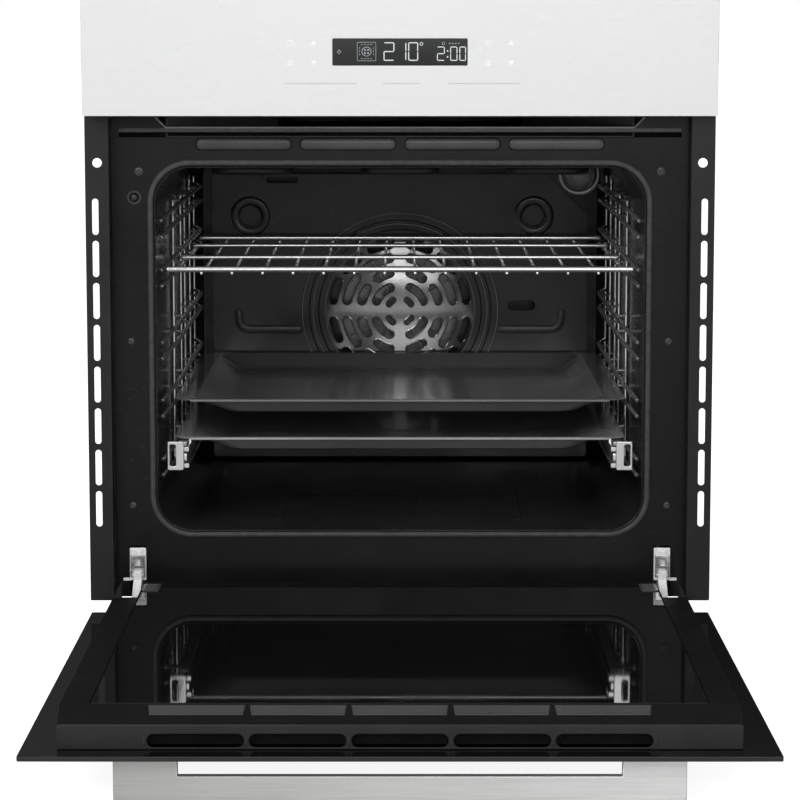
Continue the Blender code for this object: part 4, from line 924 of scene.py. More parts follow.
def add_air_panel():
    """The sheet over the fan, with its folded edge, bands, cups, stiffeners and grille."""
    _, x1, front, deep, z0, z1 = span("rear_air_panel")
    holes = [circle(0, FAN_Z, GRILLE_HOLE, 72), rounded(*PROBE_SLOT, 2, 4), rounded(*AIR_SLOT, 5, 6)]
    holes += [circle(x, z, 12.0, 32) for x, z in BOSSES]
    shapes = [plate([air_outline(0.0, x1, z0, z1), *holes], "y", front, front + SHEET, 0.5, 2)]
    fold = ((0.05, front + 0.7), (0.05, deep), (SHEET, deep), (SHEET, front + 0.7))
    wall = [ring_at(air_outline(inset, x1, z0, z1), "y", level) for inset, level in fold]
    shapes.append(loft(wall, closed=True))
    shapes += [stepped_ring(inner, outer, front, rise) for inner, outer, rise in FAN_BANDS]
    shapes += [boss(x, z, front) for x, z in BOSSES]
    shapes += [backing(x, z, front + 9) for x, z in BOSSES]
    publish("air_panel_enamel", shapes, "oven", CAVITY, ("rear_air_panel",))
    # Painted light: the beads are pressed in the panel's sheet but get a lighter enamel than it.
    beads = [panel_bead(side, front) for side in SIDES.values()]
    publish("air_panel_beads", beads, "oven", BEAD)
    # Painted highlight: pale rings on the fan bands' crests, and pale arcs on one side of each cup.
    edges = [highlight_ring(0, FAN_Z, radius, front - rise) for radius, rise in HIGHLIGHT_RINGS]
    for x, z in BOSSES:
        edges.append(highlight_arc(x, z, 21.6, front - 1.5, 165, 245))
        edges.append(highlight_arc(x, z, 12.9, front - 0.9, 175, 350))
    publish("air_panel_painted_highlights", edges, "oven", PANEL_HIGHLIGHT)
    heads = [screw_head("y", x, z, front + 0.1, -1.0, 3.0) for x, z in AIR_SCREWS]
    publish("air_panel_screws", heads, "oven", STEEL)
    add_grille(front)


def highlight_ring(x, z, radius, level):
    """A painted highlight: a pale ring along the crest of a round pressing."""
    section = [(radius + 0.6 * math.cos(t), level + 0.35 * math.sin(t))
               for t in (math.tau * n / 8 for n in range(8))]
    return hoop(section, "y", x, z, 72)


def highlight_arc(x, z, radius, level, start, end):
    """A painted highlight along a stretch of a round pressing's crest, between two angles in degrees."""
    path = []
    for n in range(25):
        turn = math.radians(start + (end - start) * n / 24)
        path.append((x + radius * math.cos(turn), level, z + radius * math.sin(turn)))
    return wire(path, 0.45, sides=8)


def backing(x, z, level):
    """The floor of a pressed cup."""
    return lathe([(13, level), (13, level - 0.8), (0, level - 0.8)], "y", x, z, 32)


def dome(radius, front):
    """The grille's depth at a radius: a shallow bulge towards the door."""
    return front + 1.0 - GRILLE_DOME * (1 - (radius / GRILLE_HOLE) ** 2)


def slot_outline(radius, width, start, end):
    """A curved slot with round ends, as an outline about the fan's axis."""
    half = width / 2
    cap = half / radius
    points = []
    for n in range(9):
        turn = start + cap + (end - start - 2 * cap) * n / 8
        points.append(((radius + half) * math.cos(turn), (radius + half) * math.sin(turn)))
    points += slot_cap(radius, half, end - cap, 1)
    for n in range(9):
        turn = end - cap - (end - start - 2 * cap) * n / 8
        points.append(((radius - half) * math.cos(turn), (radius - half) * math.sin(turn)))
    points += slot_cap(radius, half, start + cap, -1)
    return [(x, FAN_Z + z) for x, z in points]


def slot_cap(radius, half, turn, way):
    """A slot's round end, from its outer edge to its inner one or back."""
    centre = Vector((radius * math.cos(turn), radius * math.sin(turn)))
    points = []
    for n in range(1, 6):
        swing = turn + math.pi * n / 6 if way > 0 else turn + math.pi + math.pi * n / 6
        point = centre + Vector((math.cos(swing), math.sin(swing))) * half
        points.append((point.x, point.y))
    return points


def grille_slots():
    """Every slot in the grille, as radius, width, and its start and end angles."""
    slots = []
    for radius, width, parts in GRILLE_RINGS:
        edge = math.asin((GRILLE_BAR + 1.0) / radius)
        gap = 7.0 / radius
        for quarter in range(4):
            start = quarter * math.pi / 2 + edge
            length = (math.pi / 2 - 2 * edge - gap * (parts - 1)) / parts
            for part in range(parts):
                begin = start + part * (length + gap)
                slots.append((radius, width, begin, begin + length))
    for quarter in range(4):
        middle = quarter * math.pi / 2 + math.pi / 4
        slots.append((14.5, 6.0, middle - 0.42, middle + 0.42))
    return slots


def add_grille(front):
    """The domed fan grille, with a rolled rim round each slot."""
    steps = 26
    face = []
    back = []
    for n in range(steps + 1):
        radius = (GRILLE_HOLE + 1.4) * (1 - n / steps)
        face.append((radius, dome(radius, front)))
        back.append((radius, dome(radius, front) + SHEET))
    shell = lathe(back[::-1] + face, "y", 0, FAN_Z, 96)
    base = publish("fan_grille", [shell], "oven", GRILLE)
    cutters = []
    rims = []
    for radius, width, start, end in grille_slots():
        outline = slot_outline(radius, width, start, end)
        cutters.append(loft([ring_at(outline, "y", front - 12), ring_at(outline, "y", front + 12)]))
        rims.append(slot_rim(radius, width, start, end, front))
    cut(base, cutters)
    publish("fan_grille_rims", rims, "oven", GRILLE)


def slot_rim(radius, width, start, end, front):
    """The rolled edge of one slot, following the dome."""
    outline = slot_outline(radius, width + 0.9, start - 0.45 / radius, end + 0.45 / radius)
    path = [(x, dome(math.hypot(x, z - FAN_Z), front) + 0.25, z) for x, z in outline]
    return wire(path, 0.85, closed=True, sides=8, up=(0, 1, 0))


def cut(item, cutters):
    """Takes the cutters' shapes out of a published piece."""
    points, faces = joined(cutters)
    mesh = bpy.data.meshes.new("cutter")
    mesh.from_pydata(points, [], faces)
    mesh.transform(DESIGN)
    made = bmesh.new()
    made.from_mesh(mesh)
    bmesh.ops.recalc_face_normals(made, faces=made.faces)
    made.to_mesh(mesh)
    made.free()
    tool = bpy.data.objects.new("cutter", mesh)
    bpy.context.scene.collection.objects.link(tool)
    modifier = item.modifiers.new("slots", "BOOLEAN")
    modifier.operation = "DIFFERENCE"
    modifier.solver = "EXACT"
    modifier.object = tool
    graph = bpy.context.evaluated_depsgraph_get()
    result = bpy.data.meshes.new_from_object(item.evaluated_get(graph))
    item.modifiers.clear()
    item.data = result
    weigh_normals(item)
    bpy.data.objects.remove(tool)


# Racks, shelf, trays, runners

RACK_X = 231.2
RAIL_X = 220.0
RAIL_LEVELS = (127.0, 184.9, 241.3, 312.2, 359.9)
RAIL_PAIR = 15.8
RAIL_FRONT = 37.0
RAIL_BEND = 84.0
RAIL_BACK = 424.0
RAIL_DROP = 11.5
RACK_POSTS = ((169.0, 375.7), (254.0, 375.7), (300.0, 375.7), (365.0, 385.7), (424.0, 385.7))
RACK_FOOT_Z = 105.0
POST_WIRE = 1.9
RAIL_WIRE = 2.2
TIE_WIRE = 1.5
RAIL_FILLET = 16
RAIL_RETURN = 30


def add_racks():
    """Side racks of bent and welded wire."""
    for name, side in SIDES.items():
        x = side * RACK_X
        rail_x = side * RAIL_X
        wires = [wire([(x, y, RACK_FOOT_Z), (x, y, top)], POST_WIRE, sides=12) for y, top in RACK_POSTS]
        for z in (level + lift for level in RAIL_LEVELS for lift in (0, RAIL_PAIR)):
            path = [
                (x, RAIL_FRONT, z - RAIL_DROP), (rail_x, RAIL_BEND, z),
                (rail_x, RAIL_BACK - RAIL_RETURN, z), (x, RAIL_BACK + 1, z),
            ]
            wires.append(wire(path, RAIL_WIRE, RAIL_FILLET, sides=12))
            wires += [wire([(rail_x, y, z), (x, y, z)], TIE_WIRE, sides=8) for y, _ in RACK_POSTS[:-1]]
        publish(f"rack_wires_{name}", wires, "oven", CHROME, (f"side_rack_{name}",))


SHELF_RODS = 14
SHELF_PITCH = 29.5
SHELF_FRONT_Y = 37.0
SHELF_HALF = 224
SHELF_CROSS = ((400, 0.0, 3.0, 14), (171, 0.6, 2.4, 12), (309, 0.6, 2.4, 12))


def add_shelf():
    """The shelf: two thick wires and two thinner ones across, with rods welded under them."""
    x0, x1, y0, y1, z0, z1 = span("wire_shelf")
    level = z1 - 3.0
    wires = [wire([(x0, SHELF_FRONT_Y, level), (x1, SHELF_FRONT_Y, level)], 3.0, sides=14)]
    for y, drop, radius, sides in SHELF_CROSS:
        ends = [(-SHELF_HALF, y, level - drop), (SHELF_HALF, y, level - drop)]
        wires.append(wire(ends, radius, sides=sides))
    rod_z = z0 + 2.0
    for n in range(SHELF_RODS):
        x = (n - (SHELF_RODS - 1) / 2) * SHELF_PITCH
        wires.append(wire([(x, y0 + 1.6, rod_z), (x, y1, rod_z)], 1.6, sides=10))
    publish("shelf_wires", wires, "shelf", CHROME, ("wire_shelf",))


TRAY_WALL = 199.0
TRAY_FLOOR = 178.0
TRAY_DEPTH = 16.0
TRAY_CURL = 1.4
TRAY_CURL_HALF = 205.0


def add_tray(name, node, body, material):
    """A deep-drawn pan: a rim curled at the front, a flat ledge, sloping walls and a rounded foot."""
    _, x1, y0, y1, _, z1 = span(node)
    floor = z1 - TRAY_DEPTH
    section = [
        (TRAY_FLOOR - 7, 30, 19, floor + SHEET),
        (TRAY_FLOOR - 3, 26, 22, floor + SHEET + 0.25),
        (TRAY_FLOOR + 0.5, 22.3, 25, floor + SHEET + 1.4),
        (TRAY_FLOOR + 3, 19.5, 26, floor + SHEET + 3.8),
        (TRAY_WALL - 2.4, 8.4, 25, z1 - 3.0),
        (TRAY_WALL - 1.0, 7.0, 24.4, z1 - 1.2),
        (TRAY_WALL + 1.0, 5.0, 24, z1 - 0.25),
        (TRAY_WALL + 3.0, 4.2, 22, z1),
        (x1 - 1.6, 1.6, 13, z1),
        (x1 - 0.5, 0.5, 13.6, z1 - 0.35),
        (x1, 0, 14, z1 - 0.7),
        (x1 - 0.3, 0.3, 13.8, z1 - 1.05),
        (x1 - 1.6, 1.6, 13, z1 - SHEET + 0.05),
        (TRAY_WALL + 3.0, 4.2, 22, z1 - SHEET),
        (TRAY_WALL - 1.4, 7.4, 24.4, z1 - 3.4),
        (TRAY_FLOOR + 2, 20.5, 26, floor + 2.2),
        (TRAY_FLOOR - 3, 26, 22, floor),
    ]
    rings = [
        ring_at(rounded(-half, half, y0 + inset, y1 - inset, radius, 8), "z", z)
        for half, inset, radius, z in section
    ]
    curl_y, curl_z = y0 + TRAY_CURL, z1 - TRAY_CURL
    curl = wire([(-TRAY_CURL_HALF, curl_y, curl_z), (TRAY_CURL_HALF, curl_y, curl_z)], TRAY_CURL)
    publish(f"{name}_pan", [loft(rings), curl], body, material, (node,))


RAIL_SCREWS = (90, 200, 310, 380)
SLIDE_HOOKS = (60, 330)
SLIDE_GAP = 1.5
SLIDE_WIDE = 9
SLIDE_LIP = 5
CLIP_WIDE = 15.9


def add_runners():
    """Fixed rails on the racks, and the slides inside them with their front clips."""
    x0, x1, y0, y1, low, high = span("runner_rail_right")
    slide = span("runner_slide_right")
    fixed = [block(x1 - SHEET, x1, y0, y1, low, high, 0.4, 1.0, "x")]
    for z in (low, high - SHEET):
        fixed.append(block(x0, x1 - 0.2, y0, y1, z, z + SHEET, 0.4, 1.0, "z"))
        curl = z + SHEET / 2
        fixed.append(wire([(x0 + 0.4, y0 + 1, curl), (x0 + 0.4, y1 - 1, curl)], SHEET / 2))
    fixed += [screw_head("x", y, (low + high) / 2, x1 - SHEET, -0.8, 3.2) for y in RAIL_SCREWS]
    near = slide[0]
    start, end = slide[2] + 4, y1 - 3
    slide_low, slide_high = low + SLIDE_GAP, high - SLIDE_GAP
    moving = [block(near + 2, near + 8, start, end, slide_low + 6, slide_high - 6, 0.8, 2, "x")]
    for z in (slide_low, slide_high - SLIDE_LIP):
        moving.append(block(near, near + SLIDE_WIDE, start, end, z, z + SLIDE_LIP, 0.6, 1.4, "y"))
    moving += clip(slide)
    for y in SLIDE_HOOKS:
        moving.append(block(near, near + 3, y, y + 20, high - 5, slide[5], 0.6, 1, "x"))
    publish_pair("runner", fixed, "oven", STEEL, "runner_rail")
    publish_pair("slide", moving, "runner_carriage", CHROME, "runner_slide")


def clip(slide):
    """The bracket on a slide's front end: an open frame with a foot behind it."""
    _, x1, y0, _, z0, z1 = slide
    right = x1 - 0.2
    left = right - CLIP_WIDE
    frame_outline = rounded(left, right, z0 + 0.4, z1 - 0.3, 2.0, 4)
    window = rounded(left + 7.8, right - 2.2, z0 + 4.7, z1 - 3.5, 2.0, 4)
    foot = block(left + 1, left + 7, y0 + 1, y0 + 9, z0 + 1, z0 + 4, 0.6, 1, "z")
    return [plate([frame_outline, window], "y", y0, y0 + 2.2, 0.7, 2), foot]


# Control panel

DISPLAY = (-63.0, 63.0, 514.5, 539.5)
INK = 0.06


def ink(outlines, face):
    """Printed or lit marks, as very thin plates on the glass."""
    return [plate(group, "y", face - INK, face + 0.02, 0.01, 0) for group in outlines]


def bar(x0, x1, z0, z1):
    return [rounded(x0, x1, z0, z1, min(x1 - x0, z1 - z0) / 2 - 0.02, 3)]


SEGMENTS = {"0": "abcdef", "1": "bc", "2": "abged"}


def digit(name, x0, x1, z0, z1, width):
    """A seven-segment digit as thin strips."""
    middle = (z0 + z1) / 2
    half = width / 2
    gap = width * 0.7
    parts = {
        "a": (x0 + gap, x1 - gap, z1 - width, z1),
        "b": (x1 - width, x1, middle + gap / 2, z1 - gap),
        "c": (x1 - width, x1, z0 + gap, middle - gap / 2),
        "d": (x0 + gap, x1 - gap, z0, z0 + width),
        "e": (x0, x0 + width, z0 + gap, middle - gap / 2),
        "f": (x0, x0 + width, middle + gap / 2, z1 - gap),
        "g": (x0 + gap, x1 - gap, middle - half, middle + half),
    }
    return [bar(*parts[key]) for key in SEGMENTS[name]]


def ring_mark(x, z, outer, inner, steps):
    return [[circle(x, z, outer, steps), circle(x, z, inner, steps)]]


def fan_icon(x0, x1, z0, z1):
    """A square outline with a small fan in a ring, and a dashed line above and below."""
    x, z = (x0 + x1) / 2, (z0 + z1) / 2
    width = 0.5
    inner = rounded(x0 + width, x1 - width, z0 + width, z1 - width, 0.8, 3)
    marks = [[rounded(x0, x1, z0, z1, 1.2, 3), inner]]
    marks += ring_mark(x, z, 4.6, 3.9, 28)
    for quarter in range(4):
        turn = math.radians(45 + 90 * quarter)
        a, b = x + 2.1 * math.cos(turn), z + 2.1 * math.sin(turn)
        marks.append([circle(a, b, 1.0, 12)])
    for level in (z1 - 2.6, z0 + 2.0):
        for n in range(4):
            marks.append(bar(x - 5.4 + n * 2.9, x - 3.4 + n * 2.9, level, level + 0.6))
    for column in (x - 6.4, x + 6.4):
        for n in range(3):
            low = z - 3.6 + n * 2.9
            marks.append(bar(column - 0.3, column + 0.3, low, low + 1.8))
    return marks


def touch_icons(centre_x):
    """Four small ring, arrow and bar marks of the touch keys."""
    left, right = centre_x - 10.9, centre_x + 10.9
    marks = ring_mark(left, 535.6, 3.0, 2.4, 24)
    marks.append(bar(left - 0.35, left + 0.35, 535.0, 538.9))
    for foot, tip in ((533.6, 537.8), (518.8, 514.6)):
        marks.append([[(right - 2.6, foot), (right + 2.6, foot), (right, tip)]])
    marks += [bar(left - 2.8, left + 2.8, 514.6 + n * 2.0, 515.3 + n * 2.0) for n in range(3)]
    return marks


LARGE = (518.8, 536.1, 1.0)
SMALL = (518.8, 532.1, 0.85)
DIGITS = (
    ("2", -15.4, -5.2, LARGE), ("1", 3.4, 5.9, LARGE), ("0", 7.6, 17.0, LARGE),
    ("2", 34.5, 41.8, SMALL), ("0", 46.8, 53.6, SMALL), ("0", 55.4, 61.6, SMALL),
)
COLON = ((44.4, 522.4), (44.4, 528.0))
DASHES = (45.4, 48.2, 51.0, 53.8)
DIAMOND = (-56.9, 527.2)
FAN_ICON = (-40.1, -22.3, 518.6, 536.3)
TOUCH_LINES = ((-107.7, -40.3), (-15.7, 18.5), (45.1, 112.0))
TOUCH_LINE_Z = (497.45, 497.95)
TOUCH_KEYS = (-91.6, 93.0)
WINDOW_SINK = 0.03


def diamond(x, z, reach_x, reach_z):
    return [(x - reach_x, z), (x, z - reach_z), (x + reach_x, z), (x, z + reach_z)]


def add_panel():
    """White touch glass with a dark window in it, lit digits, and pale printed marks."""
    x0, x1, face, back, z0, z1 = span("control_panel_glass")
    window = rounded(*DISPLAY, 1.0, 3)
    glass = plate([rounded(x0, x1, z0, z1, 2, 6), window], "y", face, back, 0.45, 2)
    publish("touch_glass", [glass], "oven", WHITE_GLASS, ("control_panel_glass",),
            rim=(1, GLASS_EDGE))
    left, right, low, high = DISPLAY
    inset = rounded(left + 0.05, right - 0.05, low + 0.05, high - 0.05, 0.9, 3)
    level = face + WINDOW_SINK
    dark = plate([inset], "y", level, back - 0.2, 0.1, 1)
    publish("display_window", [dark], "oven", DISPLAY_GLASS)
    lit_marks = [strip for name, x0, x1, size in DIGITS for strip in digit(name, x0, x1, *size)]
    lit_marks += ring_mark(19.9, 534.6, 1.6, 1.0, 20)
    lit_marks += [[circle(x, z, 0.75, 12)] for x, z in COLON]
    publish("display_digits", ink(lit_marks, level), "oven", LIT_WHITE)
    dim = fan_icon(*FAN_ICON)
    dim.append([diamond(*DIAMOND, 2.1, 2.2), diamond(*DIAMOND, 1.3, 1.35)])
    dim += ring_mark(40.6, 534.9, 1.5, 1.0, 16)
    dim += [bar(x, x + 1.9, 534.5, 535.3) for x in DASHES]
    publish("display_icons", ink(dim, level), "oven", LIT_DIM)
    lines = [bar(left, right, *TOUCH_LINE_Z) for left, right in TOUCH_LINES]
    publish("touch_lines", ink(lines, face), "oven", PRINT_GREY)
    keys = [mark for x in TOUCH_KEYS for mark in touch_icons(x)]
    publish("touch_marks", ink(keys, face), "oven", TOUCH_WHITE)


# Door


DOOR_GLASS = (
    ("door_front_glass", "door_outer_glass", 2, 0.45),
    ("door_window", "door_inner_glass", 3, 0.6),
)
CHANNEL_FOOT = 74.0


def add_door():
    for name, node, corner, edge in DOOR_GLASS:
        x0, x1, u0, u1, w0, w1 = door_span(node)
        pane = plate([rounded(x0, x1, u0, u1, corner, 6)], "z", w0, w1, edge, 2)
        publish(name, [pane], "door", DARK_GLASS, (node,), place=DOOR, rim=(2, DARK_EDGE))
    add_profiles()
    add_top_rail()
    add_handle()


def add_profiles():
    """The pressed channels along the door's sides, and the clips that hold the inner glass."""
    x0, x1, u0, u1, w0, w1 = door_span("door_side_profile_right")
    web = rounded(x0 + 0.6, x1 - 0.6, CHANNEL_FOOT, u1, 2, 4)
    shapes = [plate([web], "z", w1 - SHEET, w1 - 0.02, 0.3, 1)]
    shapes += [block(x, x + SHEET, u0, u1, w0, w1, 0.5, 0.8, "x") for x in (x0, x1 - SHEET)]
    for x in (x1 - 0.8, x0 + 0.8):
        shapes.append(wire([(x, CHANNEL_FOOT, w1 - 0.8), (x, u1, w1 - 0.8)], 0.8))
    publish_pair("door_channel", shapes, "door", DOOR_TRIM, "door_side_profile", DOOR)
    publish_pair("door_glass_clip", glass_clip(x0), "door", GREY_TRIM_AND_HIGHLIGHT, place=DOOR)


CLIP_UP = (21.0, 49.0)
CLIP_WIDTH = 16.6


def glass_clip(profile_edge):
    """A ribbed plastic clip over the inner glass, at its lower corner."""
    top = door_span("door_inner_glass")[5]
    right = profile_edge - 0.2
    left = right - CLIP_WIDTH
    low, high = CLIP_UP
    shapes = [block(left, right, low, high, top - 0.6, top + 1.2, 0.5, 2.0, "z")]
    for n in range(4):
        u = low + 5 + n * 6
        shapes.append(wire([(left + 3, u, top + 1.2), (right - 3, u, top + 1.2)], 0.8))
    return shapes


DOOR_VENTS = 5
DOOR_VENT_PITCH = 80.0
DOOR_VENT = (76.0, 10.9, 11.2)
TRIM_BARS = 5
PAD_HALF = 38.5
PAD_SPAN = (0.06, 0.52)
PAD_TAPER = 1.5
BAFFLE_BACK = 8.0
TRIM_BEND = 13.0


def add_top_rail():
    """The vented trim along the door's upper edge: an end face, a sloping face, and cheeks."""
    x0, x1, u0, u1, w0, w1 = door_span("door_top_rail")
    length, height, deep = DOOR_VENT
    bend = w1 - TRIM_BEND
    holes = []
    for n in range(DOOR_VENTS):
        x = (n - (DOOR_VENTS - 1) / 2) * DOOR_VENT_PITCH
        holes.append(rounded(x - length / 2, x + length / 2, deep - height / 2, deep + height / 2, 5.2, 6))
    # Painted light: the end face, which faces the light, gets a paler coat than the rest of the same trim
    # sheet.
    faces = [
        plate([rounded(x0, x1, w0, bend + 0.6, 0.8, 3), *holes], "y", u1 - SHEET, u1, 0.4, 2),
        wire([(x0 + 1, u1 - 0.9, bend + 0.3), (x1 - 1, u1 - 0.9, bend + 0.3)], 0.9),
    ]
    publish("door_trim_face", faces, "door", TRIM_END_LIGHTER, place=DOOR)
    shapes = [
        sloping_face(x0, x1, u0 + 1, u1, w1, bend),
        wire([(x0 + 1, u0 + 0.9, w1 - 0.8), (x1 - 1, u0 + 0.9, w1 - 0.8)], 0.8),
    ]
    section = [(u0, w0), (u1 - 0.3, w0), (u1 - 0.3, bend), (u0 + 1, w1 - 0.2), (u0, w1 - 0.2)]
    shapes += [plate([section], "x", edge, edge + SHEET, 0.3, 1) for edge in (x0, x1 - SHEET)]
    reach = DOOR_VENTS * DOOR_VENT_PITCH / 2
    baffle = u1 - BAFFLE_BACK
    shapes.append(block(-reach, reach, baffle, baffle + 1, w0 + 2, bend - 1, 0.3, 1, "y"))
    publish("door_trim", shapes, "door", DOOR_TRIM, ("door_top_rail",), place=DOOR)
    # Painted light: the vent bars and the pressings are paler than the trim sheet that they belong to.
    bars = []
    for n in range(DOOR_VENTS + 1):
        x = (n - DOOR_VENTS / 2) * DOOR_VENT_PITCH
        bars.append(wire([(x, u1 - 0.2, w0 + 3.5), (x, u1 - 0.2, w0 + 9.5)], 1.2, sides=10))
    bars += [trim_bar(n, u0, u1, w1, bend) for n in range(TRIM_BARS)]
    publish("door_trim_bars", bars, "door", TRIM_LIGHTER, place=DOOR)


def sloping_face(x0, x1, u_low, u_high, w_high, w_low):
    """The sheet that leans from the end face back to the inner glass."""
    along = Vector((0, u_high - u_low, w_low - w_high))
    normal = Vector((0, along.z, -along.y)).normalized() * SHEET
    section = []
    for start, shift in ((0, 0), (1, 0), (1, 1), (0, 1)):
        point = Vector((0, u_low, w_high)) + along * start + normal * shift
        section.append((point.y, point.z))
    return plate([section], "x", x0 + 0.2, x1 - 0.2, 0.3, 1)


def trim_bar(n, u0, u1, w1, bend):
    """One wide shallow pressing on the sloping face, a little narrower at its upper end."""
    x = (n - (TRIM_BARS - 1) / 2) * DOOR_VENT_PITCH
    run = Vector((0, u1 - u0 - 1, bend - w1))
    out = Vector((0, -run.z, run.y)).normalized()
    foot = Vector((x, u0 + 1, w1))
    rings = []
    for inset, rise in ((0.0, -0.2), (0.4, 0.3), (1.2, 0.7), (2.6, 0.9)):
        low, high = PAD_SPAN[0] + inset / run.length, PAD_SPAN[1] - inset / run.length
        ring = []
        for side, along in ((-1, low), (1, low), (1, high), (-1, high)):
            skew = PAD_HALF - inset - PAD_TAPER * (along - low) / (high - low)
            ring.append(tuple(foot + Vector((side * skew, 0, 0)) + run * along + out * rise))
        rings.append(ring)
    return loft(rings)


HANDLE_LEG = 50.6
HANDLE_GAP = -17.5
HANDLE_CORNER = 3.0


def add_handle():
    """The flat bar handle: two legs and the bar, cut from one brushed section."""
    x0, x1, u0, u1, w0, w1 = door_span("door_handle")
    inner = x1 - HANDLE_LEG
    corner = HANDLE_CORNER
    turned = [(corner * (1 - math.cos(t)), corner * (1 - math.sin(t))) for t in
              (math.radians(degrees) for degrees in (0, 22, 45, 68, 90))]
    outline = [(x0, w1)] + [(x0 + a, w0 + b) for a, b in turned]
    outline += [(x1 - a, w0 + b) for a, b in reversed(turned)]
    outline += [(x1, w1), (inner, w1), (inner, HANDLE_GAP), (-inner, HANDLE_GAP), (-inner, w1)]
    shape = plate([outline], "y", u0, u1, 1.1, 3)
    publish("handle_bar", [shape], "door", BRUSHED, ("door_handle",), place=DOOR)


# Hinges

ARM_OUTLINE = (
    (-15, -9.5), (-9, -10), (17, 7.5), (29, 9.5), (29, 40.5), (21, 40.5), (21, 46.5),
    (14, 46.5), (14, 28.5), (9.5, 25.5), (9.5, 18.5), (-10, 3), (-17, -3),
)
ARM_WALL = 2.2
ARM_HALF = 4.0
LEVER_OUTLINE = (
    (10.3, 20.7), (12.5, 20.3), (14.7, 21.1), (14.7, 26.5), (12.5, 42.5), (9.6, 42.5), (9.6, 26.5),
)
LOCK_Y, LOCK_Z = 12.5, 22.5
PIVOT = (-12.0, -5.5)
PIVOT_PIN = 3.0
LOCK_PIN = 1.2
PIN_GAP = 0.3
BUSH_RADIUS = 5.4
FACE_Y = (15.2, 16.6)
BRIDGE_Y = (9.6, 11.1)
LEVER_WALL = 1.4
LEVER_REACH = 6.9
CHANNEL_WALL = 1.7
CHANNEL_RIVETS = (64.0, 120.0, 196.0)


def add_hinges():
    """Each hinge arm is two pressed cheeks and a web, with a faceplate, and a lock lever on it."""
    middle = HINGE_X
    low, high = middle - ARM_HALF, middle + ARM_HALF
    eye = circle(*PIVOT, PIVOT_PIN + PIN_GAP, 28)
    lock_eye = circle(LOCK_Y, LOCK_Z, LOCK_PIN + PIN_GAP, 18)
    arm = []
    for start in (low, high - ARM_WALL):
        arm.append(plate([list(ARM_OUTLINE), eye], "x", start, start + ARM_WALL, 0.5, 2))
    core = [(y * 0.97 + 0.2, z * 0.97) for y, z in ARM_OUTLINE]
    bore = circle(*PIVOT, PIVOT_PIN + 4 * PIN_GAP, 28)
    arm.append(plate([core, bore], "x", middle - 2, middle + 2, 0.3, 1))
    face = [
        rounded(middle - 8, middle + 8, 16.5, 48.5, 1.2, 5),
        rounded(middle - 3.4, middle + 3.4, 30.5, 42.5, 3.2, 5),
    ]
    arm.append(plate(face, "y", *FACE_Y, 0.5, 2))
    arm.append(block(middle + 7, middle + 14.5, *FACE_Y, 16.0, 19.0, 0.4, 1, "y"))
    inner = PIVOT_PIN + PIN_GAP
    bush = [(inner, low), (BUSH_RADIUS, low), (BUSH_RADIUS, high), (inner, high)]
    arm.append(hoop(bush, "x", *PIVOT, 28))
    arm.append(lathe(pin_profile(LOCK_PIN, middle - 7.4, middle + 7.4), "x", LOCK_Y, LOCK_Z, 18))
    lever = []
    for start in (middle - LEVER_REACH, middle + LEVER_REACH - LEVER_WALL):
        lever.append(plate([list(LEVER_OUTLINE), lock_eye], "x", start, start + LEVER_WALL, 0.4, 2))
    bridge = [
        rounded(middle - 6.8, middle + 6.8, 29.5, 42.4, 2.4, 5),
        rounded(middle - 2.5, middle + 2.5, 32.5, 38.5, 1.2, 4),
    ]
    lever.append(plate(bridge, "y", *BRIDGE_Y, 0.5, 2))
    pin = [lathe(pin_profile(PIVOT_PIN, middle - 7.9, middle + 7.9), "x", *PIVOT, 28)]
    publish_pair("hinge_cheeks", arm, "oven", STEEL, "hinge_arm")
    publish_pair("hinge_pivot", pin, "door", STEEL, "hinge_pin")
    for name, side in SIDES.items():
        made = [sided(shape, side) for shape in lever]
        publish(f"hinge_lever_{name}", made, f"hinge_lock_{name}_lever", CHROME,
                (f"hinge_lock_{name}",))
    add_hinge_channels()


def pin_profile(radius, low, high):
    return [(radius - 0.5, low), (radius, low + 0.5), (radius, high - 0.5), (radius - 0.5, high)]


def add_hinge_channels():
    """The channel in each of the door's lower corners: two cheeks, a floor and rivets."""
    x0, x1, u0, u1, w0, w1 = door_span("hinge_channel_right")
    cheek = [(u0, w0), (u1, w0), (u1, w1 - 4), (u1 - 6, w1), (u0 + 4, w1), (u0, w1 - 4)]
    shapes = [plate([cheek], "x", x, x + CHANNEL_WALL, 0.4, 2) for x in (x0, x1 - CHANNEL_WALL)]
    shapes.append(block(x0 + 0.2, x1 - 0.2, 22, u1 - 0.5, w0 + 0.05, w0 + 1.5, 0.4, 1, "z"))
    shapes += [lathe(pin_profile(2.6, x0, x1), "x", u, w0 + 8, 20) for u in CHANNEL_RIVETS]
    publish_pair("hinge_case", shapes, "door", STEEL, "hinge_channel", DOOR)


# Casing

RIB = 5.0
RIB_LOOPS = ((80, 480, 60, 400, 30, 4.2), (130, 430, 110, 350, 24, 4.4))
SIDE_VENTS = [(330 + column * 34, 470 + row * 22) for row in range(3) for column in range(5)]
SIDE_SCREWS = [(y, z) for y in (34, 290, 532) for z in (10, 285, 562)]
TOP_SLOTS = [((column - 4) * 34, 120 + row * 26) for row in range(2) for column in range(9)]
TOP_RIBS = (230, 330, 430)
TOP_SCREWS = [(x, y) for x in (-260, 0, 260) for y in (34, 532)]
REAR_VENTS = [(x, z) for x in (-120, 0, 120) for z in (90, 110)]
REAR_SCREWS = [(x, z) for x in (-262, 0, 262) for z in (14, 286, 558)]
REAR_FOLD = 9
CORD_HOLE = (-205, 462, 9.5)
TERMINAL_HOLE = (-237, -173, 486, 528)
BASE_FEET = [(x, y) for x in (-200, 200) for y in (80, 480)]
BASE_SLOTS = (-120, 0, 120)
SHEET_SCREW = 3.4


def vent(a, b, half_a, half_b, steps=5):
    """A slot with round ends about a point."""
    return rounded(a - half_a, a + half_a, b - half_b, b + half_b, half_b - 0.1, steps)


def sheet_plate(outline, holes, axis, low, high, edge=0.4):
    return plate([rounded(*outline, 1.5, 3), *holes], axis, low, high, edge, 1)


